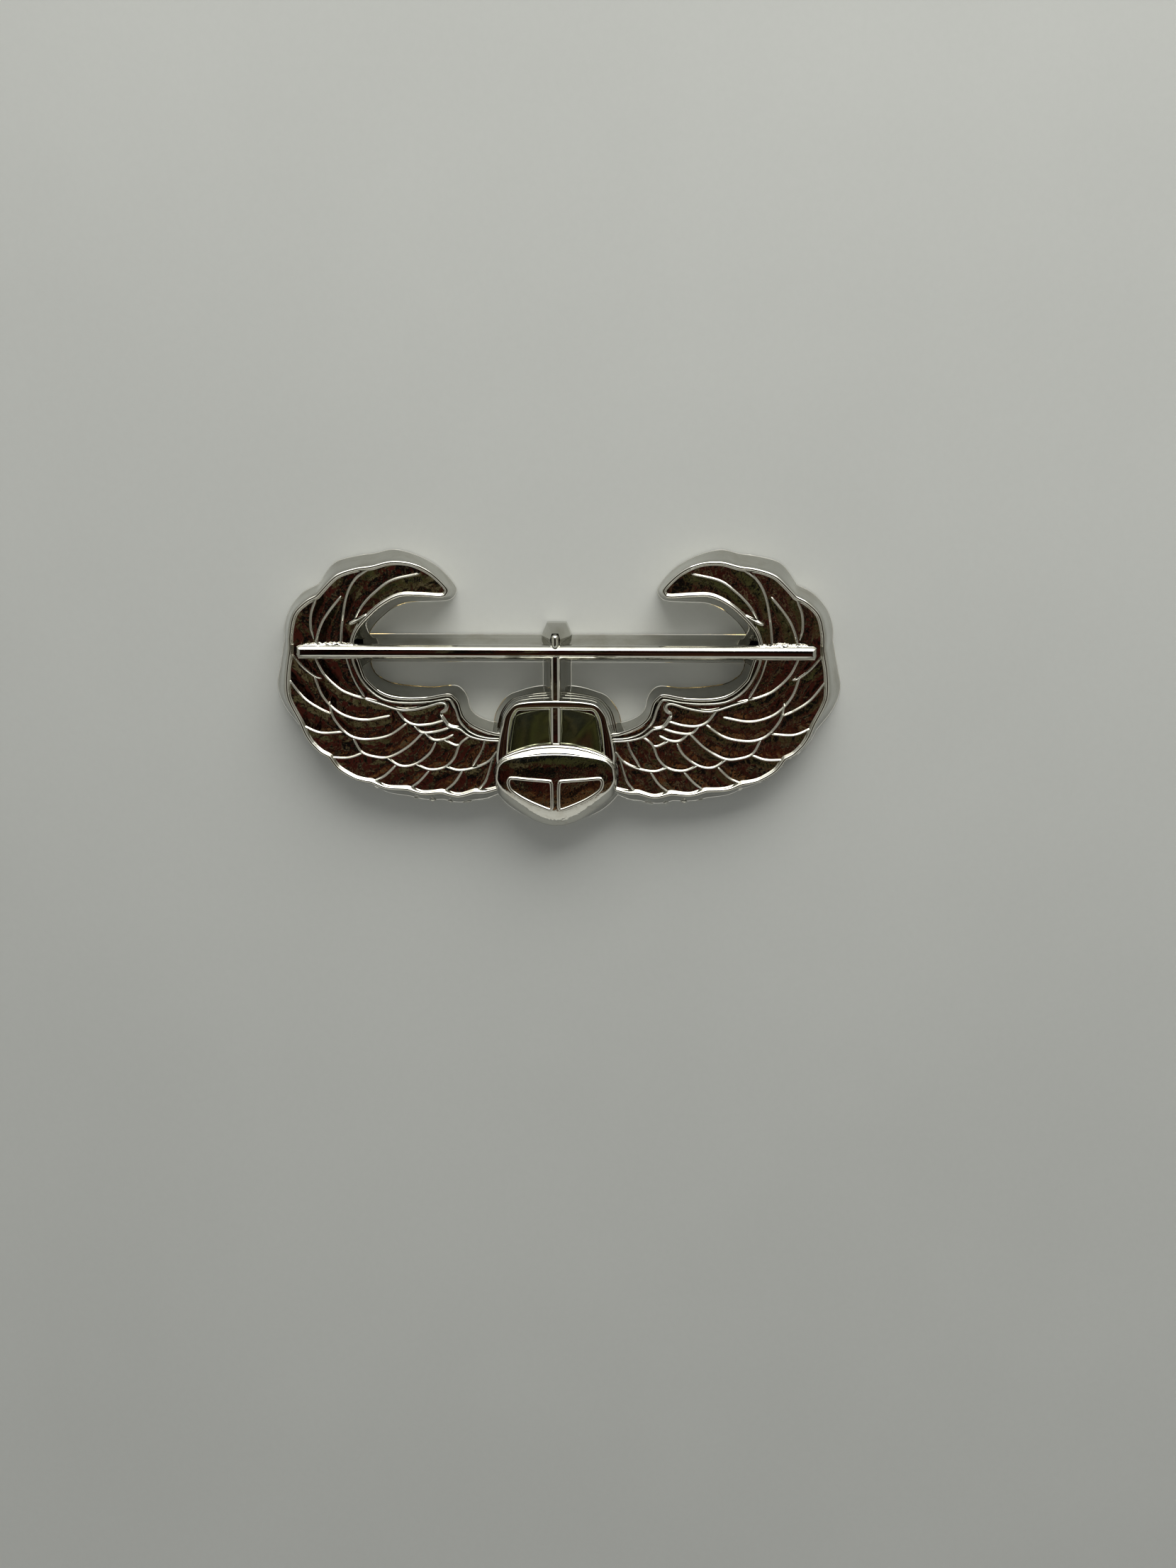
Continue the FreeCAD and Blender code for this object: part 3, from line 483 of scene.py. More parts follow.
@dataclass
class Piece:
    """Closed surfaces gathered into one named Blender piece.

    Attributes:
        name: the piece's name.
        body: the design body that it rides on.
        slot: the record's material slot, not used.
        crease: degrees between faces above which an edge is sharp.
        points, faces: everything gathered so far.
        count: number of points gathered so far.
    """

    name: str
    body: str = ROOT
    slot: Slot = Slot.BADGE
    crease: float = 42.0
    points: list[Array] = field(default_factory=list)
    faces: list[list[int]] = field(default_factory=list)
    count: int = 0

    def add(self, grid: Array, start: Cap = Cap.FLAT, end: Cap = Cap.FLAT, wrap_rows: bool = False,
            wrap_columns: bool = True) -> "Piece":
        """Adds one surface and turns it so that its faces point outwards.

        Args:
            grid: rows by columns by 3, flat millimetres.
            start: how the first row is closed.
            end: how the last row is closed.
            wrap_rows: whether the last row runs on into the first.
            wrap_columns: whether the last column runs on into the first.
        Returns:
            The piece itself, so that calls can be chained.
        """
        rows, columns = grid.shape[:2]
        verts = grid.reshape(-1, 3)
        faces = quads(rows, columns, wrap_rows, wrap_columns).tolist()
        rims = ((start, np.arange(columns)[::-1]), (end, np.arange(columns) + (rows - 1) * columns))
        for cap, ring in rims:
            if cap is Cap.FLAT:
                faces.append(ring.tolist())
            elif cap is Cap.POLE:
                pole = len(verts)
                verts = np.vstack([verts, verts[ring].mean(axis=0)])
                faces += [[int(a), int(b), pole] for a, b in zip(ring, np.roll(ring, -1))]
        return self.take(verts, faces)

    def take(self, verts: Array, faces: list[list[int]]) -> "Piece":
        """Adds a closed surface of points and faces, turned so that its faces point outwards."""
        if self._volume(verts, faces) < 0:
            faces = [face[::-1] for face in faces]
        self.faces += [[index + self.count for index in face] for face in faces]
        self.points.append(verts)
        self.count += len(verts)
        return self

    @staticmethod
    def _volume(verts: Array, faces: list[list[int]]) -> float:
        """Signed volume, as the sum of the tetrahedra from the origin to each face's fan of triangles."""
        by_size: dict[int, list[list[int]]] = {}
        for face in faces:
            by_size.setdefault(len(face), []).append(face)
        total = 0.0
        for size, group in by_size.items():
            corner = verts[np.array(group)]
            for k in range(1, size - 1):
                total += float(np.einsum("ij,ij->", corner[:, 0], np.cross(corner[:, k], corner[:, k + 1])))
        return total / 6

    def mirrored(self) -> "Piece":
        """Flips everything gathered so far to the other side of the centreline."""
        self.points = [points * np.array([-1.0, 1.0, 1.0]) for points in self.points]
        self.faces = [face[::-1] for face in self.faces]
        return self

    def on_side(self, side: Side) -> "Piece":
        """Moves a piece drawn for the left side to the side asked for."""
        return self.mirrored() if side is Side.RIGHT else self

    def finish(self, material: bpy.types.Material, replaces: Sequence[str] = ()) -> bpy.types.Object:
        """Makes the Blender piece, dresses it and puts it on its body.

        Args:
            material: the finish.
            replaces: design nodes that the piece stands for.
        Returns:
            The new object.
        """
        flat = np.vstack(self.points)
        stood = np.stack([flat[:, 0], -flat[:, 2], flat[:, 1]], axis=1) * MM
        mesh = bpy.data.meshes.new(self.name)
        mesh.from_pydata(stood.tolist(), [], self.faces)
        mesh.validate()
        mesh.shade_smooth()
        mesh.set_sharp_from_angle(angle=math.radians(self.crease))
        mesh.materials.append(material)
        piece = bpy.data.objects.new(self.name, mesh)
        bpy.context.scene.collection.objects.link(piece)
        if replaces:
            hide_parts(*replaces)
        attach(piece, self.body)
        log.info("%s: %d points, %d faces on %s", self.name, len(mesh.vertices), len(mesh.polygons), self.body)
        return piece


# --- finishes -----------------------------------------------------------------------------------------


class Graph:
    """A small helper that adds nodes to a node tree and wires them."""

    def __init__(self, tree: bpy.types.NodeTree) -> None:
        """Starts from an empty tree."""
        self.tree = tree
        tree.nodes.clear()

    @classmethod
    def of_material(cls, name: str) -> tuple["Graph", bpy.types.Material]:
        """Makes a new material and the graph of its nodes."""
        material = bpy.data.materials.new(name)
        material.use_nodes = True
        return cls(material.node_tree), material

    def end(self, surface: bpy.types.NodeSocket, kind: str = "ShaderNodeOutputMaterial") -> None:
        """Adds the output node and wires the surface to it."""
        self.node(kind, {"Surface": surface})

    def node(self, kind: str, inputs: dict | None = None, **settings: object) -> bpy.types.Node:
        """Adds a node.

        Args:
            kind: the node's type name.
            inputs: socket name or number to a value or to another node's output.
            settings: the node's own properties.
        Returns:
            The new node.
        """
        made = self.tree.nodes.new(kind)
        for name, value in settings.items():
            setattr(made, name, value)
        for key, value in (inputs or {}).items():
            if isinstance(value, bpy.types.NodeSocket):
                self.tree.links.new(value, made.inputs[key])
            else:
                made.inputs[key].default_value = value
        return made

    def math(self, operation: str, *values: object, clamp: bool = False) -> bpy.types.NodeSocket:
        """Adds a Math node and returns its result."""
        made = self.node("ShaderNodeMath", dict(enumerate(values)), operation=operation, use_clamp=clamp)
        return made.outputs[0]

    def noise(self, where: bpy.types.NodeSocket, size_mm: float, detail: float = 3.0, rough: float = 0.55,
              warp: float = 0.0) -> bpy.types.NodeSocket:
        """Adds cloudy noise whose patches are about size_mm across and returns its value."""
        made = self.node("ShaderNodeTexNoise", {"Vector": where, "Scale": 1 / (size_mm * MM), "Detail": detail,
                                                "Roughness": rough, "Distortion": warp})
        return made.outputs["Fac"]

    def span(self, value: bpy.types.NodeSocket, low: float, high: float, to_low: float = 0.0,
             to_high: float = 1.0) -> bpy.types.NodeSocket:
        """Maps low..high to to_low..to_high with a smooth, clamped step."""
        made = self.node("ShaderNodeMapRange", {"Value": value, "From Min": low, "From Max": high,
                                                "To Min": to_low, "To Max": to_high},
                         interpolation_type="SMOOTHSTEP")
        return made.outputs[0]

    def scaled(self, colour: object, share: object) -> bpy.types.NodeSocket:
        """Multiplies a colour by a share."""
        return self.node("ShaderNodeVectorMath", {0: colour, "Scale": share}, operation="SCALE").outputs[0]

    def shift(self, value: object, reach: float) -> bpy.types.NodeSocket:
        """Turns a value round one half into a shift round zero, reach times as large."""
        return self.math("MULTIPLY", self.math("SUBTRACT", value, 0.5), reach)

    def mix(self, share: object, first: object, second: object) -> bpy.types.NodeSocket:
        """Mixes two shaders by a share."""
        return self.node("ShaderNodeMixShader", {0: share, 1: first, 2: second}).outputs[0]

    def glow(self, colour: object, strength: float = 1.0) -> bpy.types.NodeSocket:
        """Adds a background of the world."""
        return self.node("ShaderNodeBackground", {"Color": colour, "Strength": strength}).outputs[0]

    def blend(self, share: object, first: object, second: object) -> bpy.types.NodeSocket:
        """Mixes two colours by a share and returns the colour."""
        made = self.node("ShaderNodeMix", {0: share, 6: first, 7: second}, data_type="RGBA")
        return made.outputs[2]


@dataclass(frozen=True)
class MetalFinish:
    """A plated or bare metal with cast ripple, smudges and a worn tone.

    Attributes:
        name: the material's name.
        bright: colour where it is clean; in the window finish its olive tint is painted reflection, and in the
            plate finish it is darkened, partly as painted shade.
        dull: colour where it is smudged or tarnished, tinted or darkened in the same way.
        roughness: lowest and highest roughness.
        ripple_mm: size of the surface's ripple.
        ripple_um: height of the ripple in thousandths of a millimetre.
        grain_um: height of the fine grain in thousandths of a millimetre.
        grain_mm: size of the fine grain.
        patch_mm: size of the smudges.
        patch: values of the patch noise between which a smudge begins and is full.
        brushed: how much longer the grain is along the badge than across it.
    """

    name: str
    bright: tuple[float, float, float]
    dull: tuple[float, float, float]
    roughness: tuple[float, float]
    ripple_mm: float = 1.2
    ripple_um: float = 8.0
    grain_um: float = 0.5
    grain_mm: float = 0.12
    patch_mm: float = 2.0
    patch: tuple[float, float] = (0.45, 0.75)
    brushed: float = 1.0

    def build(self) -> bpy.types.Material:
        """Makes the node material."""
        graph, material = Graph.of_material(self.name)
        where = graph.node("ShaderNodeTexCoord").outputs["Object"]
        grain_at = where
        if self.brushed != 1.0:
            stretch = {"Vector": where, "Scale": (1 / self.brushed, 1.0, 1.0)}
            grain_at = graph.node("ShaderNodeMapping", stretch).outputs[0]
        share = graph.span(graph.noise(where, self.patch_mm, 5.0, 0.62, 0.4), *self.patch)
        fine = graph.noise(grain_at, self.grain_mm, 2.0)
        tone = graph.blend(share, (*self.bright, 1.0), (*self.dull, 1.0))
        toned = graph.scaled(tone, graph.span(fine, 0.35, 0.7, 0.97, 1.0))
        worn = graph.math("ADD", graph.math("MULTIPLY", share, 0.7), graph.math("MULTIPLY", fine, 0.3))
        rough = graph.span(worn, 0.1, 0.9, *self.roughness)
        ripple = graph.noise(where, self.ripple_mm, 3.0, 0.5, 0.3)
        low = graph.node("ShaderNodeBump", {"Height": ripple, "Distance": self.ripple_um * UM * 2.0,
                                            "Strength": 1.0}).outputs[0]
        high = graph.node("ShaderNodeBump", {"Height": fine, "Distance": self.grain_um * UM * 2.0,
                                             "Strength": 1.0, "Normal": low}).outputs[0]
        graph.end(graph.node("ShaderNodeBsdfPrincipled", {"Base Color": toned, "Roughness": rough,
                                                          "Metallic": 1.0, "Normal": high}).outputs[0])
        return material


@dataclass(frozen=True)
class CardFinish:
    """Plain pale card with a faint paper grain, seen only from its front.

    Attributes:
        name: the material's name.
        tone: the card's colour.
        see_through: rays shorter than this, in metres, pass, so that the card doesn't blacken the badge's back.
    """

    name: str = "pale_card"
    tone: tuple[float, float, float] = (0.60, 0.61, 0.575)
    see_through: float = 0.0003

    def build(self) -> bpy.types.Material:
        """Makes the node material."""
        graph, material = Graph.of_material(self.name)
        where = graph.node("ShaderNodeTexCoord").outputs["Object"]
        broad = graph.span(graph.noise(where, 28.0, 3.0), 0.3, 0.7, 0.965, 1.0)
        fibre = graph.span(graph.noise(where, 0.45, 4.0, 0.7), 0.3, 0.7, 0.985, 1.0)
        shade = graph.scaled(self.tone, graph.math("MULTIPLY", broad, fibre))
        bump = graph.node("ShaderNodeBump", {"Height": graph.noise(where, 0.9, 5.0, 0.7), "Distance": 20 * UM,
                                             "Strength": 0.35}).outputs[0]
        paper = graph.node("ShaderNodeBsdfPrincipled", {"Base Color": shade, "Roughness": 0.9, "Normal": bump})
        behind = graph.node("ShaderNodeNewGeometry").outputs["Backfacing"]
        reach = graph.node("ShaderNodeLightPath").outputs["Ray Length"]
        clear = graph.math("MAXIMUM", behind, graph.math("LESS_THAN", reach, self.see_through))
        graph.end(graph.mix(clear, paper.outputs[0], graph.node("ShaderNodeBsdfTransparent").outputs[0]))
        return material


# Partly painted shade: darker than the same chrome on the nose and cells, so its walls seem to mirror shaded
# card.
PLATE_DARKENED_AS_SHADE = MetalFinish("bright_plate_partly_painted_shade", (0.44, 0.435, 0.395), (0.35, 0.335, 0.285), (0.05, 0.13),
                           ripple_mm=1.6, ripple_um=5.0, grain_um=0.25)
CELL_PLATE = MetalFinish("cell_plate", (0.62, 0.605, 0.57), (0.46, 0.42, 0.365), (0.02, 0.08), ripple_mm=1.3,
                         ripple_um=24.0, grain_um=0.6, grain_mm=0.09, patch_mm=1.1)
NOSE_PLATE = MetalFinish("nose_plate", (0.50, 0.495, 0.455), (0.41, 0.39, 0.34), (0.02, 0.07), ripple_mm=0.7,
                         ripple_um=12.0, grain_um=0.5, grain_mm=0.09, patch_mm=1.2)
# Painted reflection: the panes' olive tint stands in for olive surroundings they mirror; the grey is the
# plating's own.
PANE_PLATE_PAINTED_OLIVE_REFLECTION = MetalFinish("window_plate_painted_olive_reflection", (0.52, 0.54, 0.36), (0.43, 0.45, 0.29), (0.13, 0.19), ripple_mm=0.9,
                           ripple_um=2.5, grain_um=0.5, grain_mm=0.07, patch_mm=0.8)
POST_STEEL = MetalFinish("post_steel", (0.74, 0.73, 0.70), (0.50, 0.47, 0.42), (0.16, 0.34), ripple_mm=0.6,
                         ripple_um=2.0, grain_um=1.0, grain_mm=0.08, patch_mm=0.7)
STAMPED_BRASS = MetalFinish("stamped_brass", (0.86, 0.68, 0.34), (0.52, 0.37, 0.17), (0.17, 0.36),
                            ripple_mm=1.4, ripple_um=5.0, grain_um=1.2, grain_mm=0.10, patch_mm=1.8,
                            brushed=6.0)
SPRING_BRASS = MetalFinish("spring_brass", (0.80, 0.61, 0.29), (0.46, 0.32, 0.15), (0.20, 0.40), ripple_mm=1.0,
                           ripple_um=3.0, grain_um=1.2, grain_mm=0.08, patch_mm=1.2, brushed=8.0)


# --- the badge's front ----------------------------------------------------------------------------------


@dataclass(frozen=True)
class Levels:
    """Heights above the back face, in millimetres.

    Attributes:
        plate, rim, blade, brow: tops of the back plate, the wings, the rotor blade and the brow band.
        floor: floor of the feathers.
    """

    plate: float = top_of("back_plate")
    rim: float = top_of("wing_left")
    blade: float = top_of("rotor_blade")
    brow: float = top_of("brow_band")
    floor: float = 2.07


LEVELS = Levels()


def wing_rings(steps: int = 8) -> tuple[Array, Array]:
    """The left wing's matching outlines at the back face and at the top of the rim."""
    rows = drawn([row[:4] for row in WING_ROWS])
    corners = [k for k, row in enumerate(WING_ROWS) if row[4]]
    ring = cornered_run(rows, corners, steps)
    return ring[:, :2], ring[:, 2:]


def other_half(half: Array) -> Array:
    """Rows of x, y pairs mirrored to the other side of the centreline, last row first."""
    return half[::-1] * np.tile([-1.0, 1.0], half.shape[1] // 2)


def outlines(ring: Array) -> list[Array]:
    """Splits rows of x, y pairs into one outline for each pair."""
    return [ring[:, k : k + 2] for k in range(0, ring.shape[1], 2)]


def whole_rings(rows: Sequence[Sequence[float]], steps: int = 10) -> list[Array]:
    """Matching closed outlines from half of a symmetrical one whose last row is on the centreline.

    The other half is the first one mirrored, and a half that starts off the centreline is closed by a
    straight line between its two first points.

    Args:
        rows: pairs of columns x, y, one pair for each outline.
        steps: samples on each span.
    Returns:
        One closed outline for each pair of columns.
    """
    half = drawn(rows)
    back = other_half(half[:-1])
    if abs(half[0, 0]) < 1e-9:
        ring = smooth_run(np.vstack([half, back[:-1]]), steps, closed=True)
    else:
        arch = smooth_run(np.vstack([half, back]), steps)
        chord = np.linspace(arch[-1], arch[0], steps * 2)[1:-1]
        ring = np.vstack([arch, chord])
    return outlines(ring)


def straight_rings(rows: Sequence[Sequence[float]], steps: int = 6) -> list[Array]:
    """Matching closed outlines with straight edges from half of a symmetrical one."""
    half = drawn(rows)
    ring = np.vstack([half, other_half(half)])
    after = np.roll(ring, -1, axis=0)
    t = np.linspace(0, 1, steps, endpoint=False)[None, :, None]
    return outlines((ring[:, None] + (after - ring)[:, None] * t).reshape(-1, ring.shape[1]))


def extruded(profile: Sequence[tuple[float, float]], start: float, end: float) -> Array:
    """A symmetrical profile of (half width, height) pairs drawn straight along y.

    Formula: the profile's right half, then its left half mirrored, repeated at both ends.
    """
    right = np.array(profile)
    section = np.vstack([right, other_half(right)])
    ends = [np.column_stack([section[:, 0], np.full(len(section), y), section[:, 1]]) for y in (start, end)]
    return np.stack(ends)


@dataclass
class BackPlate:
    """The drafted plate that everything stands on, with a fine burr along the wings' lower edges.

    Attributes:
        burr: how far the casting burr stands proud of the wall's foot.
        bar_foot, bar_top: widths of the bar between the wings, at the back and in front.
        bar_lap: how far the bar runs on past the wings' inner ends.
        mast_width: width of the plate under the mast.
        mast_lean: how much narrower each side of it is in front.
        mast_lap: how far it runs on under the cabin.
        step_back: how much deeper each overlapping part's back lies than the next one's.
    """

    burr: float = 0.17
    bar_foot: float = 1.92
    bar_top: float = 1.5
    bar_lap: float = 10.6
    mast_width: float = 1.96
    mast_lean: float = 0.19
    mast_lap: float = 1.0
    step_back: float = 0.012

    def wing_slab(self) -> Array:
        """Rows of the left wing's wall from the back face to the top of the plate.

        Formula: the leaning wall, with the three lowest rows pushed out by a ragged wave along the
        lower half of the outline, and kept within the plate's own width and height.
        """
        base, rim = wing_rings()
        top = LEVELS.plate / LEVELS.rim
        shares = np.concatenate([[0.0, 0.012, 0.05, 0.09], np.linspace(0.13, 1.0, 5)]) * top
        grid = leaning_rings(base, rim, shares, shares * LEVELS.rim)
        normal = -inward(base)
        walk = np.arange(len(base), dtype=float)
        ragged = np.clip(waves(walk, 0 * walk, 5.0, 11) + waves(walk, 0 * walk, 2.3, 12), 0, 2) / 2
        lower = np.clip((-6.5 - base[:, 1]) / 2.5, 0.15, 1.0)
        push = self.burr * ragged * lower
        for row, share in ((0, 1.0), (1, 1.0), (2, 0.5)):
            grid[row, :, :2] += normal * (push * share)[:, None]
        low, high = node_box("back_plate")
        grid[..., 0] = np.clip(grid[..., 0], low[0], high[0])
        grid[..., 1] = np.clip(grid[..., 1], low[1], high[1])
        return grid

    def block(self, half_x: float, y_low: float, y_high: float, foot: float, top: float) -> Array:
        """Rows of a small drafted block: the wall leans in by foot minus top, over the plate's height."""
        half_y = (y_high - y_low) / 2
        ring = rounded_box(half_x, half_y, 0.12, (0.0, (y_high + y_low) / 2))
        lean = (foot - top) / 2
        return flat_rings(ring, [(0.0, self.step_back), (0.0, 0.06), (lean * 0.5, LEVELS.plate / 2),
                                 (lean, LEVELS.plate)])

    def build(self, face: bpy.types.Material) -> None:
        """Makes the plate."""
        plate = Piece("back_plate_casting")
        plate.add(self.wing_slab()).mirrored().add(self.wing_slab())
        half = abs(wing_rings()[0][:, 0]).min() + self.bar_lap
        plate.add(self.block(half, -self.bar_foot / 2, self.bar_foot / 2, self.bar_foot, self.bar_top))
        half_mast = self.mast_width / 2
        sides = [(half_mast, 2 * self.step_back), (half_mast - self.mast_lean, LEVELS.plate)]
        plate.add(extruded(sides, drawn(CABIN_ROWS)[-1, 1] - self.mast_lap, 0.0))
        share = LEVELS.plate / LEVELS.rim
        rows = np.array([0.0, 0.06, 0.5, 1.0])
        for depth, outline in ((3, CABIN_ROWS), (1, NOSE_ROWS)):
            base, rim = whole_rings(outline)[:2]
            levels = rows * LEVELS.plate + depth * self.step_back * (1 - rows)
            plate.add(leaning_rings(base, rim, rows * share, levels))
        plate.finish(face, ["back_plate"])


@dataclass
class Wing:
    """One wing: leaning wall and rounded rim, feather floor and feather edges.

    Attributes:
        side: which wing.
        inset: how far inside the rim's outline the floor ends.
        rim_reach: how far inside it the rim's inner flank ends.
        ridge: width of a feather edge at its foot.
        ridge_rise: height of a feather edge above the floor.
        arm_ridge, arm_rise: width of the arm ridges, and their height above the feather edges.
        grid: spacing of the floor's points.
        swell: how much each feather swells between its edges.
    """

    side: Side
    inset: float = 0.12
    rim_reach: float = 0.34
    ridge: float = 0.21
    ridge_rise: float = 0.12
    arm_ridge: float = 0.30
    arm_rise: float = 0.09
    grid: float = 0.11
    swell: float = 0.045

    def name(self, part: str) -> str:
        """A piece name for this wing."""
        return f"wing_{self.side.word}_{part}"

    @staticmethod
    def curves(drawings: Sequence[Sequence[tuple[float, float]]], steps: int) -> list[Array]:
        """Drawn ridge lines as evenly sampled curves."""
        return [even_run(smooth_run(drawn(points), steps), 0.09) for points in drawings]

    def paths(self) -> list[Array]:
        """The feather edges."""
        return self.curves(FEATHERS, 8)

    def arms(self) -> list[Array]:
        """The wider ridges."""
        return self.curves(ARM_RIDGES, 10)

    def shell(self, face: bpy.types.Material) -> None:
        """The wall and the rounded rim: the wall leans in, rolls over the crest and drops to the floor."""
        base, rim = wing_rings()
        top = LEVELS.rim
        shares = np.array([LEVELS.plate / top, 0.52, 0.66, 0.78, 0.85, 0.905, 0.955, 1.0])
        climb = np.array([LEVELS.plate, 1.25, 1.62, top - 0.40, top - 0.24, top - 0.14, top - 0.075,
                          top - 0.03])
        wall = leaning_rings(base, rim, shares, climb)
        crest = below(top, (0.045, 0.006), (0.09, 0.0), (0.13, 0.012), (0.17, 0.05), (0.205, 0.11),
                      (0.235, 0.19))
        flank = [(0.30, LEVELS.floor - 0.02), (self.rim_reach, LEVELS.floor - 0.12),
                 (self.rim_reach, LEVELS.plate)]
        inner = flat_rings(rim, crest + flank, room_share(rim, self.rim_reach))
        piece = Piece(self.name("shell")).add(np.concatenate([wall, inner]), Cap.OPEN, Cap.OPEN, wrap_rows=True)
        piece.on_side(self.side).finish(face, [f"wing_{self.side.word}"])

    def floor_height(self, points: Array) -> Array:
        """Height of the feather floor.

        Formula: the floor level, plus soft waves, plus a swell that grows with the distance from the
        nearest edge as one minus a bell curve.
        """
        edges = np.vstack(self.paths() + self.arms())
        nearest = np.full(len(points), 1e9)
        for block in np.array_split(edges, 24):
            gap = np.linalg.norm(points[:, None, :] - block[None], axis=2).min(axis=1)
            nearest = np.minimum(nearest, gap)
        x, y = points.T
        seed = 40 if self.side is Side.LEFT else 60
        soft = 0.010 * waves(x, y, 3.1, seed) + 0.004 * waves(x, y, 1.1, seed + 1)
        return LEVELS.floor + soft + self.swell * (1 - np.exp(-((nearest / 0.42) ** 2)))

    def floor(self, face: bpy.types.Material) -> None:
        """The feather floor: a gently swelling sheet on a grid, with a flat underside inside the rim."""
        rim = wing_rings()[1]
        edge = rim + inward(rim) * self.inset
        low, high = edge.min(axis=0), edge.max(axis=0)
        xs = np.arange(low[0], high[0] + self.grid, self.grid)
        ys = np.arange(low[1], high[1] + self.grid, self.grid)
        gx, gy = np.meshgrid(xs, ys, indexing="ij")
        points = np.column_stack([gx.ravel(), gy.ravel()])
        keep = inside(edge, points).reshape(gx.shape)
        cells = keep[:-1, :-1] & keep[1:, :-1] & keep[1:, 1:] & keep[:-1, 1:]
        all_quads = quads(len(xs), len(ys), False, False)[cells.ravel()]
        used, fresh = np.unique(all_quads, return_inverse=True)
        fresh = fresh.reshape(-1, 4)
        top = np.column_stack([points[used], self.floor_height(points[used])])
        under = np.column_stack([points[used], np.full(len(used), LEVELS.floor - 0.16)])
        skirt = skirt_of(border_of(fresh, len(used)), len(used))
        faces = np.vstack([fresh, fresh[:, ::-1] + len(used), skirt])
        piece = Piece(self.name("floor")).take(np.vstack([top, under]), faces.tolist())
        piece.on_side(self.side).finish(face)

    def feathers(self, face: bpy.types.Material) -> None:
        """The feather edges and arm ridges, each a tent-shaped bead."""
        piece = Piece(self.name("feather_edges"), crease=75.0)
        foot, crest = LEVELS.floor - 0.05, LEVELS.floor + self.ridge_rise
        for path in self.paths():
            piece.add(bead(path, self.ridge, crest, foot))
        for path in self.arms():
            piece.add(bead(path, self.arm_ridge, crest + self.arm_rise, foot))
        piece.on_side(self.side).finish(face)

    def build(self, face: bpy.types.Material, cell: bpy.types.Material) -> None:
        """Makes the whole wing."""
        self.shell(face)
        self.floor(cell)
        self.feathers(face)


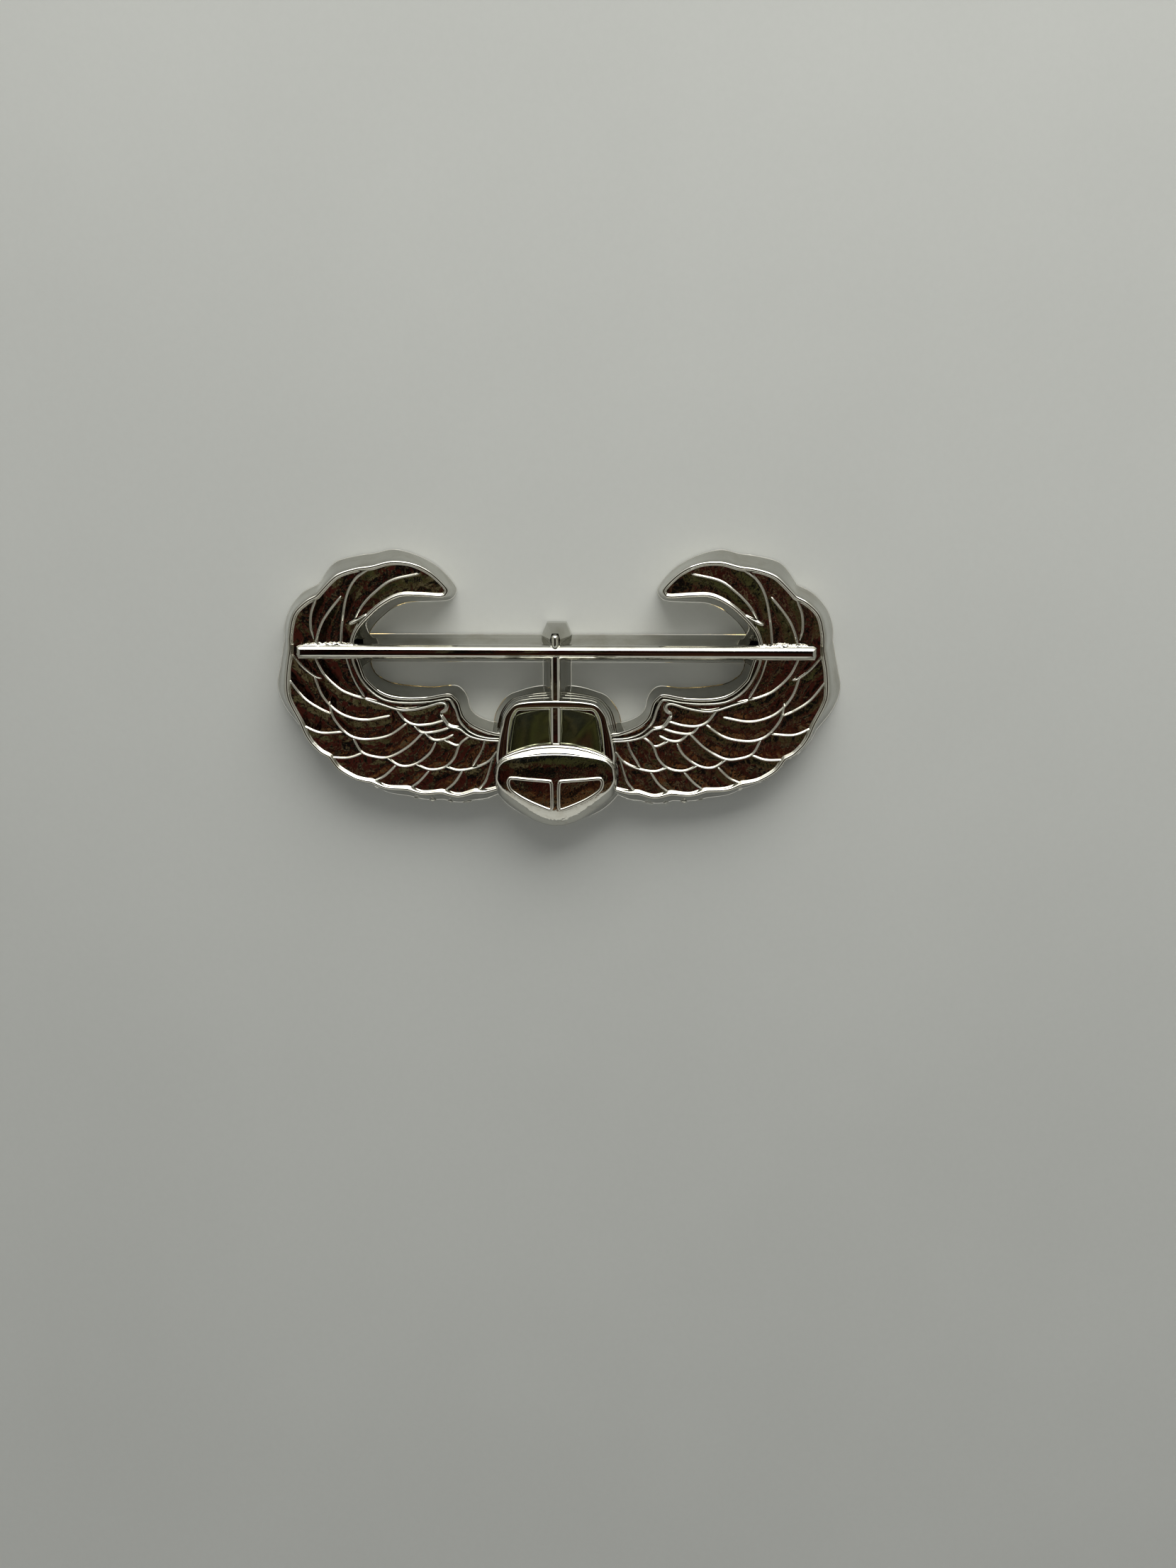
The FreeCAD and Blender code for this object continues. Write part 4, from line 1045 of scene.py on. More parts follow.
@dataclass
class RotorGroup:
    """Rotor blade with its web, the mast below it, and the hub knob with its stub.

    Attributes:
        flat: width of the blade's flat top.
        foot: width of the blade's body.
        bevel: height of the blade's bevels.
        crumb: size of the rough solder along the blade's ends.
        crumb_end: distance from the centreline at which the solder ends.
        web_foot: width of the web's foot.
        web_lap: how far the web runs on past the wings' inner ends.
    """

    flat: float = 0.34
    foot: float = 0.92
    bevel: float = 0.27
    crumb: float = 0.17
    crumb_end: float = 13.25
    web_foot: float = 1.5
    web_lap: float = 10.2

    def blade_profile(self, low: float) -> list[tuple[float, float]]:
        """Inset and height pairs of the blade: upright sides, a bevel with eased edges, and a flat top."""
        run = (self.foot - self.flat) / 2
        eased = below(LEVELS.blade, (0.0, self.bevel + 0.05), (0.015, self.bevel),
                      (run * 0.5, self.bevel * 0.45), (run * 0.9, 0.035), (run, 0.008), (run + 0.04, 0.0))
        return [(0.0, low)] + eased

    def blade(self, face: bpy.types.Material) -> None:
        """The blade, its web between the wings, and the crumbly solder over its ends."""
        low, high = node_box("rotor_blade")
        piece = Piece("rotor_blade_bar", crease=30.0)
        ring = rounded_box((high[0] - low[0]) / 2, self.foot / 2, 0.1, (0.0, 0.0))
        piece.add(flat_rings(ring, self.blade_profile(LEVELS.floor - 0.15)))
        web_half = abs(wing_rings()[1][:, 0]).min() + self.web_lap
        web = rounded_box(web_half, self.web_foot / 2, 0.12, (0.0, 0.0))
        lean = (self.web_foot - self.foot) / 2
        piece.add(flat_rings(web, [(0.0, LEVELS.plate), (lean * 0.55, 1.4), (lean, 1.95)]))
        piece.finish(face, ["rotor_blade"])

    def solder(self, face: bpy.types.Material) -> None:
        """Rough solder on the blade's upper side where it crosses each wing.

        Formula: a flattened tube along the blade whose radius is one plus waves of its length and angle.
        """
        reach = node_box("rotor_blade")[1][0]
        piece = Piece("rotor_blade_solder", crease=80.0)
        along = np.linspace(0.0, 1.0, 170)
        angle = np.linspace(0, 2 * np.pi, 26, endpoint=False)
        for side in (-1, 1):
            x = side * (reach - 0.15 - along * (reach - self.crumb_end))
            swell = np.sin(np.pi * np.clip(along, 0.02, 0.98)) ** 0.35
            broad = waves(x[:, None], angle[None] * 0.25, 0.8, 5 + side)
            fine = waves(x[:, None], angle[None] * 0.2, 0.32, 15 + side)
            lumps = 1 + 0.40 * broad + 0.34 * fine
            radius = self.crumb * swell[:, None] * np.clip(lumps, 0.25, 2.0)
            y = self.foot / 2 - 0.10 + radius * np.cos(angle)
            h = LEVELS.blade - self.bevel - 0.10 + 0.8 * radius * np.sin(angle)
            piece.add(np.stack([np.broadcast_to(x[:, None], y.shape), y, h], axis=2), Cap.POLE, Cap.POLE)
        piece.finish(face)

    def mast(self, face: bpy.types.Material) -> None:
        """The mast from the blade to the cabin roof: leaning sides, two bevels and a narrow flat top."""
        foot = drawn(CABIN_ROWS)[-1, 3] - 0.3
        top = LEVELS.blade - 0.1
        bevels = below(top, (0.37, 0.24), (0.33, 0.16), (0.22, 0.07), (0.165, 0.02), (0.14, 0.0))
        piece = Piece("mast_bar", crease=28.0)
        piece.add(extruded([(0.79, LEVELS.plate), (0.56, 1.75), (0.53, 1.79)] + bevels, foot, -0.1))
        piece.finish(face, ["mast"])

    def hub(self, face: bpy.types.Material) -> None:
        """The knob behind the blade, six leaning facets, and the round-ended stub on it."""
        piece = Piece("rotor_hub_knob", crease=24.0)
        base, rim = straight_rings(HUB_ROWS)
        top = LEVELS.blade
        piece.add(leaning_rings(base, rim, np.array([0.0, 0.02, 0.05, 0.1, 0.97, 1.0]),
                                np.array([0.05, 0.72, 0.86, 0.98, top - 0.34, top - 0.31])))
        stub = rounded_box(0.26, 0.50, 0.255, (0.0, 0.72))
        crown = below(top, (0.0, 0.30), (0.02, 0.20), (0.07, 0.10), (0.15, 0.03), (0.23, 0.0))
        piece.add(flat_rings(stub, [(0.0, 1.8)] + crown))
        piece.finish(face, ["rotor_hub"])

    def build(self, face: bpy.types.Material) -> None:
        """Makes all four pieces."""
        self.blade(face)
        self.solder(face)
        self.mast(face)
        self.hub(face)


@dataclass
class Cabin:
    """Cabin front: arched shell with a recessed frame, two panes, mullion, brow band and nose.

    Attributes:
        bevel: width and depth of the bevel inside the frame.
        well: depth of the windscreen well below the frame.
        pane_foot, pane_top: depths of a pane's lower and upper edge below the frame.
        face_level: height of the edge of the nose's face above the frame.
        crown: how much the nose's face swells.
        brow_half: half width of the brow band in its middle.
        chin_frame: cross-section of a chin window's frame, as inset and height.
        chin_lean: how much each chin pane falls for a millimetre down and for a millimetre outwards.
        chin_lift: height of a pane's top inner corner above the highest point under its frame.
        chin_depth: depth of a pane below its face.
    """

    bevel: float = 0.25
    well: float = 0.52
    pane_foot: float = 0.03
    pane_top: float = 0.46
    face_level: float = 0.38
    crown: float = 0.17
    brow_half: float = 0.32
    chin_frame: tuple[tuple[float, float], ...] = ((-0.13, -0.05), (-0.115, 0.03), (-0.06, 0.085), (0.0, 0.10),
                                                   (0.06, 0.085), (0.105, 0.02), (0.13, -0.10))
    chin_lean: tuple[tuple[Side, tuple[float, float]], ...] = ((Side.LEFT, (0.13, 0.03)),
                                                               (Side.RIGHT, (0.07, 0.06)))
    chin_lift: float = 0.01
    chin_depth: float = 0.25

    def shell(self, face: bpy.types.Material) -> None:
        """The arched wall, the rolled edge and flat of the frame, and the bevel down into the well."""
        base, rim, opening = whole_rings(CABIN_ROWS)
        top = LEVELS.blade
        start = LEVELS.plate / LEVELS.rim
        hollow = np.array([start, 0.48, 0.55, 0.64, 0.70, 0.82, 0.86, 0.93, 0.98, 1.0])
        climb = np.array([LEVELS.plate, 1.18, 1.185, 1.56, 1.565, 2.11, 2.115, 2.42, 2.66, top - 0.12])
        wall = leaning_rings(base, rim, hollow, climb)
        frame_edge = leaning_rings(rim, opening, np.array([0.05, 0.14, 0.26, 0.4, 1.0]),
                                   np.array([top - 0.07, top - 0.03, top - 0.008, top, top]))
        b = self.bevel
        bevel = flat_rings(opening, below(top, (0.02, 0.01), (0.07, 0.07), (b * 0.7, b * 0.95), (b * 0.86, b),
                                          (b, b * 1.3), (b + 0.03, self.well)))
        piece = Piece("cabin_shell", crease=30.0)
        piece.add(np.concatenate([wall, frame_edge, bevel]))
        piece.finish(face, ["cabin_frame"])

    def panes(self, face: bpy.types.Material, pane_finish_painted_reflection: bpy.types.Material) -> None:
        """Two windscreen panes that lean back, with the mullion between them.

        Formula: pane height falls in a straight line from its foot to its top edge.
        """
        ring = smooth_run(drawn(WINDSCREEN), 8, closed=True)
        top_edge, foot_edge = ring[:, 1].max(), ring[:, 1].min()
        lean = (top_edge - ring[:, 1]) / (top_edge - foot_edge)
        surface = LEVELS.blade - self.pane_top + lean * (self.pane_top - self.pane_foot)
        low = LEVELS.blade - self.well - 0.04
        for side in Side:
            grid = flat_rings(ring, [(0.0, low), (0.0, 0.0), (0.02, 0.0), (0.05, 0.0)])
            grid[1:, :, 2] = surface[None] + np.array([-0.04, -0.01, 0.0])[:, None]
            piece = Piece(f"windscreen_pane_{side.word}", slot=Slot.WINDOW).add(grid)
            piece.on_side(side).finish(pane_finish_painted_reflection, [f"windscreen_{side.word}"])
        top, foot = drawn([(0, -3.30), (0, -6.6)])[:, 1]
        height = LEVELS.blade - 0.07
        bevels = below(height, (0.45, 0.30), (0.41, 0.24), (0.30, 0.10), (0.20, 0.02), (0.16, 0.0))
        post = Piece("windscreen_mullion", crease=24.0)
        post.add(extruded([(0.46, low)] + bevels, top, foot))
        post.finish(face)

    def brow(self, face: bpy.types.Material) -> None:
        """The raised band: a stepped roll along an arc, thickest in the middle and leaning up."""
        half = drawn([(-3.92, -7.05), (-3.3, -6.72), (-2.3, -6.36), (-1.15, -6.12), (0.0, -6.05)])
        path = even_run(smooth_run(np.vstack([half, other_half(half[:-1])]), 12), 0.08)
        walk = np.linspace(-1, 1, len(path))
        size = np.sqrt(np.clip(1 - np.abs(walk) ** 2.6, 0.03, 1))
        across, rise = np.array([
            (-1.0, 0.0), (-0.99, 0.60), (-0.95, 0.94), (-0.88, 1.0), (-0.5, 0.80), (-0.08, 0.58), (-0.04, 0.53),
            (0.22, 0.52), (0.25, 0.47), (0.44, 0.37), (0.48, 0.32), (0.72, 0.31), (0.76, 0.26), (0.92, 0.10),
            (1.0, -0.3), (0.6, -0.5), (-0.6, -0.5),
        ]).T
        span = LEVELS.brow - LEVELS.blade + 0.08
        height = LEVELS.blade - 0.08 + span * rise[None] * size[:, None] ** 0.7
        offset = self.brow_half * size[:, None] * across[None]
        flat = path[:, None, :] + left_of(path)[:, None, :] * offset[:, :, None]
        piece = Piece("brow_band_roll", crease=22.0)
        piece.add(np.concatenate([flat, height[:, :, None]], axis=2), Cap.POLE, Cap.POLE)
        piece.finish(face, ["brow_band"])

    def nose_middle(self) -> Array:
        """The point of the nose that its rings close in on."""
        return drawn([(0.0, -8.6)])[0]

    def nose_height(self, share: Array) -> Array:
        """Height of the nose's face.

        Formula: edge level plus crown times one minus a mix of the share squared and to the sixth power.
        """
        return LEVELS.blade + self.face_level + self.crown * (1 - 0.6 * share**2 - 0.4 * share**6)

    def nose_share(self, flat: Array) -> Array:
        """Share of the way from the nose's middle to the edge of its face, by direction."""
        middle = self.nose_middle()
        spoke = whole_rings(NOSE_ROWS, 16)[2] - middle
        heading = np.arctan2(spoke[:, 1], spoke[:, 0])
        order = np.argsort(heading)
        at = flat - middle
        length = np.linalg.norm(spoke[order], axis=1)
        edge = np.interp(np.arctan2(at[..., 1], at[..., 0]), heading[order], length, period=2 * np.pi)
        return np.linalg.norm(at, axis=-1) / edge

    def nose(self, face: bpy.types.Material) -> None:
        """The nose: drafted wall, sloping lip with eased edges, and a face that swells gently."""
        base, rim, edge = whole_rings(NOSE_ROWS, 16)
        middle = self.nose_middle()
        start = LEVELS.plate / LEVELS.rim
        foot = LEVELS.rim + 0.05
        top = float(self.nose_height(np.array(1.0)))
        wall = leaning_rings(base, rim, np.array([start, 0.7, 0.97, 1.0]),
                             np.array([LEVELS.plate, 1.5, foot - 0.08, foot]))
        shares = np.array([0.06, 0.3, 0.6, 0.85, 0.95, 1.0])
        climb = np.array([0.14, 0.42, 0.72, 0.93, 0.985, 1.0])
        lip = leaning_rings(rim, edge, shares, foot + (top - foot) * climb)
        rings = [np.column_stack([middle + (edge - middle) * s,
                                  np.full(len(edge), float(self.nose_height(np.array(s))))])
                 for s in np.linspace(0.97, 0.04, 30)]
        piece = Piece("nose_dome", crease=50.0)
        piece.add(np.concatenate([wall, lip, np.stack(rings)]), Cap.FLAT, Cap.POLE)
        piece.finish(face, ["nose_cone"])

    def chin(self, side: Side, face: bpy.types.Material, pane_face: bpy.types.Material) -> None:
        """One chin window: a raised frame laid on the nose and a flat pane just inside it.

        Formula: the pane is a plane that leans down and outwards from its top inner corner.
        """
        ring = smooth_run(drawn(CHIN_WINDOW), 8, closed=True)
        height = self.nose_height(self.nose_share(ring))
        profile = np.array(self.chin_frame)
        normal = inward(ring)
        flat = ring[None] + normal[None] * profile[:, 0, None, None]
        up = np.broadcast_to(height[None] + profile[:, 1, None], flat.shape[:2])
        frame_piece = Piece(f"chin_frame_{side.word}", crease=80.0)
        frame_piece.add(np.concatenate([flat, up[..., None]], axis=2), Cap.OPEN, Cap.OPEN, wrap_rows=True)
        pane = ring[None] + normal[None] * np.array([0.04, 0.04, 0.10])[:, None, None]
        down, out = dict(self.chin_lean)[side]
        fall = down * (pane[..., 1] - ring[:, 1].max()) + out * (pane[..., 0] - ring[:, 0].max())
        level = height.max() + self.chin_lift + fall
        level[0] -= self.chin_depth
        pane_piece = Piece(f"chin_pane_{side.word}", slot=Slot.WINDOW)
        pane_piece.add(np.concatenate([pane, level[..., None]], axis=2))
        frame_piece.on_side(side).finish(face)
        pane_piece.on_side(side).finish(pane_face, [f"chin_window_{side.word}"])

    def build(self, face: bpy.types.Material, nose: bpy.types.Material, pane_finish_painted_reflection: bpy.types.Material) -> None:
        """Makes the cabin and nose."""
        self.shell(face)
        self.panes(face, pane_finish_painted_reflection)
        self.brow(face)
        self.nose(nose)
        for side in Side:
            self.chin(side, face, nose)


# --- posts and clutches ---------------------------------------------------------------------------------


@dataclass
class Post:
    """A nail post with a soldered foot, grip groove and sharp tip.

    Attributes:
        side: which post.
        radius: the shank's radius.
        tip_length: length of the pointed end.
        foot: radius of the soldered foot.
        groove: depth of the grip groove.
    """

    side: Side
    radius: float = 0.55
    tip_length: float = 1.6
    foot: float = 1.2
    groove: float = 0.12

    def build(self, steel: bpy.types.Material) -> None:
        """Makes the post as one turned surface."""
        node = f"post_{self.side.word}"
        end = float(node_box(node)[0][2])
        neck = end + self.tip_length + 0.7
        r, shallow = self.radius, self.radius - self.groove * 0.8
        profile = [
            (0.02, 0.12), (self.foot * 0.96, 0.12), (self.foot, 0.02), (self.foot, -0.1),
            (self.foot * 0.97, -0.16), (self.foot * 0.9, -0.195), (r * 1.5, -0.2), (r * 1.15, -0.24),
            (r, -0.36), (r, neck + 0.35),
            (shallow, neck + 0.2), (r - self.groove, neck), (shallow, neck - 0.2), (r, neck - 0.35),
            (r, end + self.tip_length), (r * 0.93, end + 1.45), (r * 0.5, end + 0.7), (0.09, end + 0.08),
            (0.04, end + 0.01),
        ]
        piece = Piece(f"nail_post_{self.side.word}", slot=Slot.POST, crease=38.0)
        piece.add(lathe(profile, centre_of(node), 48), Cap.POLE, Cap.POLE)
        piece.finish(steel, [node])


@dataclass
class Clutch:
    """A squeeze clutch: stamped plate, slotted cap, and two ears that carry the jaws.

    Attributes:
        side: which post it sits on.
        hole: radius of the post hole.
        sheet: thickness of the sheet metal.
        wall: thickness of the cap.
        slot_half: half width of the cap's side slots.
        slot_margin: distance of the slots from the cap's closed end.
        arc_points, gap_points: points round each closed stretch of the cap and inside each slot.
        jaw_drop: distance of the jaws behind the plate.
        ear_root: distance of an ear's root from the post's line.
    """

    side: Side
    hole: float = 0.61
    sheet: float = 0.35
    wall: float = 0.3
    slot_half: float = 2.35
    slot_margin: float = 0.9
    arc_points: int = 25
    gap_points: int = 13
    jaw_drop: float = 2.7
    ear_root: float = 2.725

    @property
    def body(self) -> str:
        """The clutch's design body."""
        return f"clutch_{self.side.word}"

    @property
    def plate_node(self) -> str:
        """The plate's design node, whose middle is the post's line."""
        return f"clutch_plate_{self.side.word}"

    def plate(self, brass: bpy.types.Material) -> None:
        """The round plate: rolled edge, two stamped rings and a raised boss, as one turned surface."""
        low, high = node_box(self.plate_node)
        r, lip = (high[0] - low[0]) / 2, float(low[2])
        front, back = float(high[2]), float(high[2]) - self.sheet
        face = below(front, (self.hole, 0.0), (self.hole + 0.05, 0.0), (2.0, 0.0), (2.2, 0.06), (2.5, 0.06),
                     (2.7, 0.0), (r - 0.42, 0.0), (r - 0.2, 0.06), (r - 0.05, 0.2), (r, 0.36))
        rolled = [(r, lip + 0.12), (r - 0.05, lip + 0.03), (r - 0.14, lip), (r - 0.24, lip + 0.03),
                  (r - 0.32, lip + 0.12)]
        boss = below(back, (r - 0.42, 0.07), (r - 0.6, 0.0), (4.45, 0.0), (4.3, 0.05), (4.1, 0.05), (3.95, 0.0),
                     (1.95, 0.0), (1.75, 0.04), (1.62, 0.16), (1.5, 0.26), (1.3, 0.3), (self.hole + 0.08, 0.3),
                     (self.hole + 0.02, 0.27), (self.hole, 0.2))
        piece = Piece(f"clutch_disc_{self.side.word}", self.body, Slot.CLUTCH, crease=50.0)
        grid = lathe(face + rolled + boss, centre_of(self.plate_node), 128)
        piece.add(grid, Cap.OPEN, Cap.OPEN, wrap_rows=True)
        piece.finish(brass, [self.plate_node])

    def cap_profile(self) -> tuple[list[tuple[float, float]], int]:
        """Outer profile of the cap from its foot to its end, and how many rows the side slots take."""
        low, high = node_box(f"clutch_cap_{self.side.word}")
        r = (high[0] - low[0]) / 2
        foot, end = float(high[2]), float(low[2])
        stop = end + self.slot_margin
        return [(r, foot), (r, (foot + stop) / 2), (r, stop), (r, end + 0.62), (r - 0.03, end + 0.48),
                (r - 0.16, end + 0.24), (r - 0.36, end + 0.07), (r - 0.6, end), (2.2, end), (2.05, end + 0.07),
                (1.5, end + 0.09), (0.9, end + 0.09)], 2

    def cap(self, brass: bpy.types.Material) -> None:
        """The cap: a cup turned about the post, cut open at both sides, and given its wall inwards.

        Formula: each row is a circle; columns between the slot's two edges are left out of the lower rows.
        """
        rows, open_rows = self.cap_profile()
        radius, height = np.array(rows).T
        edge = math.asin(self.slot_half / radius[0])
        arc = np.linspace(edge, np.pi - edge, self.arc_points)
        gap = np.linspace(-edge, edge, self.gap_points + 2)[1:-1]
        angle = np.concatenate([arc, np.pi + gap, np.pi + arc, 2 * np.pi + gap])
        closed = np.tile(np.repeat([True, False], [self.arc_points - 1, self.gap_points + 1]), 2)
        centre = centre_of(self.plate_node)
        outer = turned(radius, height, centre, angle).reshape(-1, 3)
        inner = turned(*self.inset(radius, height), centre, angle).reshape(-1, 3)
        cells = quads(len(rows), len(angle), False, True).reshape(len(rows) - 1, len(angle), 4)
        keep = np.ones(cells.shape[:2], bool)
        keep[:open_rows] = closed[None]
        faces, count = cells[keep], len(outer)
        last = (len(rows) - 1) * len(angle)
        border = border_of(faces, count)
        skirt = skirt_of(border[border.min(axis=1) < last], count)
        end_ring = last + np.arange(len(angle))
        listed = faces.tolist() + (faces[:, ::-1] + count).tolist() + skirt.tolist()
        listed += [end_ring.tolist(), (count + end_ring)[::-1].tolist()]
        used, fresh = np.unique(np.concatenate(listed), return_inverse=True)
        sizes = np.cumsum([0] + [len(face) for face in listed])
        numbered = [fresh[a:b].tolist() for a, b in zip(sizes[:-1], sizes[1:])]
        piece = Piece(f"clutch_cup_{self.side.word}", self.body, Slot.CLUTCH, crease=50.0)
        piece.take(np.vstack([outer, inner])[used], numbered)
        piece.finish(brass, [f"clutch_cap_{self.side.word}"])

    def inset(self, radius: Array, height: Array) -> tuple[Array, Array]:
        """The cap's inner profile: the outer one moved in by the wall, square to the profile."""
        slope = np.stack([np.gradient(radius), np.gradient(height)], axis=1)
        slope /= np.linalg.norm(slope, axis=1, keepdims=True)
        inner_r = radius + slope[:, 1] * self.wall
        inner_h = height - slope[:, 0] * self.wall
        inner_h[0] = height[0]
        inner_r[-1] = radius[-1]
        return np.clip(inner_r, 0.3, radius[0] - self.wall), inner_h

    def ear(self, which: str, brass: bpy.types.Material) -> None:
        """One ear with its bar and jaw.

        The ear is a strip: a bent centre line carried across its width, narrowing to a round end. The bar
        and the jaw are one flat plate whose outline wraps half round the post.
        """
        node = f"ear_{which}_{self.side.word}"
        low, high = node_box(node)
        centre = centre_of(self.plate_node)
        ends = abs(low[0] - centre[0]), abs(high[0] - centre[0])
        out = 1 if ends[1] > ends[0] else -1
        reach = max(ends)
        root, tip = float(high[2]), float(low[2])
        half = (high[1] - low[1]) / 2
        t = self.sheet
        stem = reach - t / 2
        jaw = top_of(self.plate_node) - self.sheet - self.jaw_drop
        line = np.array([(self.ear_root, root - 0.02), (self.ear_root, jaw + 0.55), (2.85, jaw + 0.28),
                         (3.3, jaw + 0.05), (stem - 0.6, jaw + 0.05 - (reach - 3.6) * 0.12),
                         (stem - 0.15, root - 2.45), (stem, root - 2.85), (stem, tip + 0.02)])
        path = even_run(smooth_run(line, 8), 0.12)
        normal = -left_of(path)
        length = walked(path)
        left = np.clip((length[-1] - length) / 1.5, 0, 1)
        width = half * (0.35 + 0.65 * np.sqrt(1 - (1 - left) ** 2))
        width[0] *= 0.96
        share = np.array([1, 1, 0.97, 0, -0.97, -1, -1, -0.97, 0, 0.97])
        thick = np.array([-0.36, 0.36, 0.5, 0.5, 0.5, 0.36, -0.36, -0.5, -0.5, -0.5]) * t
        x = path[:, 0, None] + normal[:, 0, None] * thick
        h = path[:, 1, None] + normal[:, 1, None] * thick
        y = width[:, None] * share
        strip = np.stack([centre[0] + out * x, centre[1] + out * y, h], axis=2)
        piece = Piece(f"clutch_{node}", node, Slot.EAR, crease=60.0)
        piece.add(strip)
        bite = self.hole - 0.03
        turn = np.linspace(np.pi / 2, 3 * np.pi / 2, 20)
        outline = np.vstack([
            np.array([(2.75, 0.70), (2.75, 1.68), (-1.1, 1.68), (-1.28, 1.5), (-1.28, -0.45), (-1.15, -0.58),
                      (-0.06, -0.58)]),
            np.stack([bite * np.cos(turn[::-1]), bite * np.sin(turn[::-1])], axis=1)[1:-1],
            np.array([(-0.06, 0.58), (-0.06, 0.70)]),
        ])
        rows = [np.column_stack([centre[0] + out * outline[:, 0], centre[1] + out * outline[:, 1],
                                 np.full(len(outline), level)]) for level in (jaw + 0.02, jaw + t - 0.02)]
        piece.add(np.stack(rows))
        piece.finish(brass, [node])

    def build(self, brass: bpy.types.Material, spring: bpy.types.Material) -> None:
        """Makes the clutch's four pieces."""
        self.plate(brass)
        self.cap(brass)
        for which in ("outer", "inner"):
            self.ear(which, spring)


# --- stage, light and camera ------------------------------------------------------------------------------


Stop = tuple[float, tuple[float, float, float]]


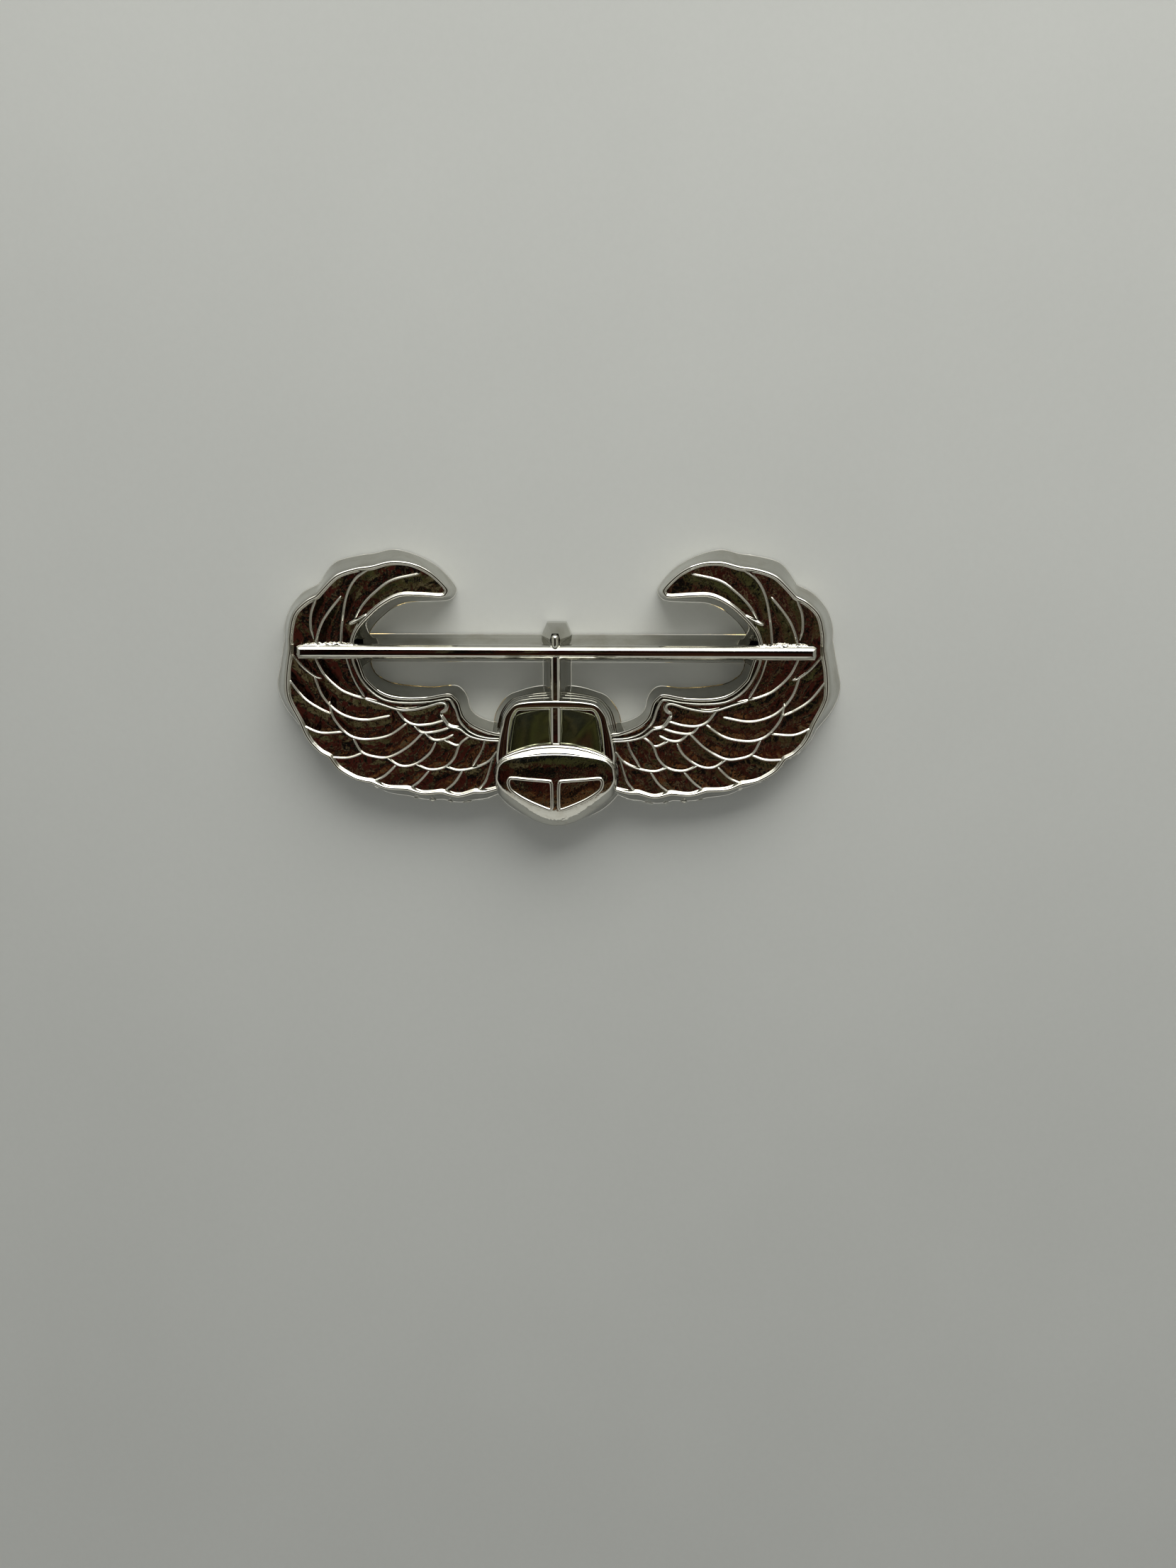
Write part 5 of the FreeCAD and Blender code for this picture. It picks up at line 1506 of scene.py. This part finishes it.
@dataclass
class Studio:
    """A pale card behind the badge, one soft window light, a dim room seen only in reflections, and the camera.

    Attributes:
        card_gap: distance of the card behind the back face.
        card_half: half width and half height of the card.
        eye: the camera's place.
        target: the point that it looks at.
        lens: its focal length on a 36 mm frame.
        lamp_size, lamp_place: the window light's width and height, and its place, in metres.
        lamp_watts, lamp_tone: its power and colour.
        room_stops: the dim room's colours from low to high.
        wall_stops: the pale walls' colours from low to high.
        ambient, ambient_level: the surroundings' colour and strength for rays that aren't reflected.
        backdrop: the colour that the camera sees past the card.
    """

    card_gap: float = 0.1
    card_half: tuple[float, float] = (150.0, 170.0)
    eye: tuple[float, float, float] = (4.55, -87.17, 10.56)
    target: tuple[float, float, float] = (2.12, 0.0, -9.57)
    lens: float = 29.25
    lamp_size: tuple[float, float] = (0.26, 0.16)
    lamp_place: tuple[float, float, float] = (0.045, -0.12, 0.21)
    lamp_watts: float = 0.62
    lamp_tone: tuple[float, float, float] = (1.0, 0.995, 0.975)
    room_stops: tuple[Stop, ...] = (
        (0.0, (0.23, 0.12, 0.05)), (0.17, (0.12, 0.052, 0.019)), (0.29, (0.036, 0.010, 0.006)),
        (0.48, (0.052, 0.0105, 0.008)), (0.58, (0.046, 0.032, 0.014)), (0.66, (0.050, 0.052, 0.017)),
        (0.76, (0.046, 0.048, 0.018)), (0.83, (0.012, 0.014, 0.013)), (1.0, (0.05, 0.054, 0.055)))
    wall_stops: tuple[Stop, ...] = (
        (0.0, (0.86, 0.86, 0.80)), (0.36, (0.62, 0.615, 0.56)), (0.60, (0.48, 0.475, 0.42)),
        (0.74, (0.80, 0.80, 0.74)), (1.0, (1.2, 1.2, 1.15)))
    ambient: tuple[float, float, float, float] = (0.93, 0.94, 0.93, 1.0)
    ambient_level: float = 0.30
    backdrop: tuple[float, float, float, float] = (0.46, 0.47, 0.45, 1.0)

    def card(self) -> None:
        """The card, facing the camera."""
        half_x, half_z = (value * MM for value in self.card_half)
        y = self.card_gap * MM
        corners = [(-half_x, y, -half_z), (half_x, y, -half_z), (half_x, y, half_z), (-half_x, y, half_z)]
        mesh = bpy.data.meshes.new("card")
        mesh.from_pydata(corners, [], [(0, 1, 2, 3)])
        mesh.materials.append(CardFinish().build())
        card = bpy.data.objects.new("card", mesh)
        bpy.context.scene.collection.objects.link(card)

    def light(self) -> None:
        """A large soft window light above and in front of the badge."""
        lamp = bpy.data.lights.new("window_light", "AREA")
        lamp.shape = "RECTANGLE"
        lamp.size, lamp.size_y = self.lamp_size
        lamp.energy = self.lamp_watts
        lamp.color = self.lamp_tone
        place = bpy.data.objects.new("window_light", lamp)
        place.location = self.lamp_place
        place.rotation_euler = (-place.location).to_track_quat("-Z", "Y").to_euler()
        place.visible_camera = False
        bpy.context.scene.collection.objects.link(place)

    def room(self) -> None:
        """The surroundings: plain pale grey to the eye, and a dim mottled room in front for reflections.

        Formula: a reflected ray's heading is its sideways and upward angle from straight in front. Within
        an oval round the front the room is dark, maroon at eye level, olive above and brown below;
        outside it is pale, and brightest high up where the window is.
        """
        world = bpy.data.worlds.new("room")
        bpy.context.scene.world = world
        world.use_nodes = True
        graph = Graph(world.node_tree)
        heading = graph.node("ShaderNodeTexCoord").outputs["Generated"]
        parts = graph.node("ShaderNodeSeparateXYZ", {0: heading}).outputs
        forward = graph.math("MULTIPLY", parts[1], -1.0)
        aside = graph.math("ARCTAN2", parts[0], forward)
        above = graph.math("ARCSINE", parts[2])
        mottle = self.mottle(graph, heading, 9.0, 3.0)
        across = graph.math("DIVIDE", aside, 0.66)
        up = graph.math("DIVIDE", graph.math("ADD", above, 0.06), 0.60)
        oval = graph.math("SQRT", graph.math("ADD", graph.math("MULTIPLY", across, across),
                                             graph.math("MULTIPLY", up, up)))
        pale = graph.span(graph.math("ADD", oval, graph.shift(mottle, 0.5)), 0.86, 1.12)
        level = graph.math("ADD", above, graph.shift(mottle, 0.55))
        dim = self.ramp(graph, graph.span(level, -0.75, 0.55), self.room_stops)
        broken = self.mottle(graph, heading, 13.0, 5.0)
        dim = graph.blend(graph.span(broken, 0.50, 0.53), dim, (0.005, 0.004, 0.0035, 1.0))
        streak = graph.span(self.mottle(graph, heading, 17.0, 5.0), 0.57, 0.60)
        dim = graph.blend(streak, dim, (0.10, 0.082, 0.044, 1.0))
        dim = graph.scaled(dim, graph.span(graph.math("ABSOLUTE", aside), 0.24, 0.36, 1.0, 0.25))
        walls = self.ramp(graph, graph.span(above, -1.2, 1.2), self.wall_stops)
        window = graph.math("MULTIPLY", graph.span(above, 0.60, 0.92), graph.span(above, 1.22, 1.42, 1.0, 0.3))
        walls = graph.blend(window, walls, (4.2, 4.2, 4.05, 1.0))
        reflected = graph.glow(graph.blend(pale, dim, walls))
        paths = graph.node("ShaderNodeLightPath").outputs
        unseen = graph.mix(paths["Is Glossy Ray"], graph.glow(self.ambient, self.ambient_level), reflected)
        graph.end(graph.mix(paths["Is Camera Ray"], unseen, graph.glow(self.backdrop)), "ShaderNodeOutputWorld")

    @staticmethod
    def mottle(graph: Graph, heading: bpy.types.NodeSocket, scale: float,
               detail: float) -> bpy.types.NodeSocket:
        """Cloudy noise over the headings of the room."""
        made = graph.node("ShaderNodeTexNoise", {"Vector": heading, "Scale": scale, "Detail": detail,
                                                 "Roughness": 0.6, "Distortion": 0.6})
        return made.outputs["Fac"]

    @staticmethod
    def ramp(graph: Graph, share: bpy.types.NodeSocket, stops: Sequence[Stop]) -> bpy.types.NodeSocket:
        """Runs a share through a colour ramp with the given stops."""
        made = graph.node("ShaderNodeValToRGB", {0: share})
        line = made.color_ramp
        while len(line.elements) < len(stops):
            line.elements.new(0.5)
        for element, (place, colour) in zip(line.elements, stops):
            element.position = place
            element.color = (*colour, 1.0)
        return made.outputs[0]

    def camera(self) -> None:
        """The camera, level, at the eye's place and looking at the target."""
        lens = bpy.data.cameras.new("camera")
        lens.lens = self.lens
        lens.sensor_width = 36.0
        lens.clip_start = 0.001
        lens.clip_end = 10.0
        camera = bpy.data.objects.new("camera", lens)
        camera.location = Vector(self.eye) * MM
        aim = Vector(self.target) - Vector(self.eye)
        camera.rotation_euler = aim.to_track_quat("-Z", "Y").to_euler()
        bpy.context.scene.collection.objects.link(camera)
        bpy.context.scene.camera = camera

    def build(self) -> None:
        """Sets up the whole studio."""
        self.card()
        self.light()
        self.room()
        self.camera()
        bpy.context.scene.view_settings.view_transform = "Standard"


def main() -> None:
    """Builds the badge, its posts and clutches, and the studio."""
    logging.basicConfig(level=logging.INFO, format="%(name)s %(message)s")
    plate = PLATE_DARKENED_AS_SHADE.build()
    cell = CELL_PLATE.build()
    pane_finish_painted_reflection = PANE_PLATE_PAINTED_OLIVE_REFLECTION.build()
    steel = POST_STEEL.build()
    brass = STAMPED_BRASS.build()
    spring = SPRING_BRASS.build()
    BackPlate().build(plate)
    for side in Side:
        Wing(side).build(plate, cell)
    RotorGroup().build(plate)
    Cabin().build(plate, NOSE_PLATE.build(), pane_finish_painted_reflection)
    for side in Side:
        Post(side).build(steel)
        Clutch(side).build(brass, spring)
    Studio().build()


if __name__ == "__main__":
    main()
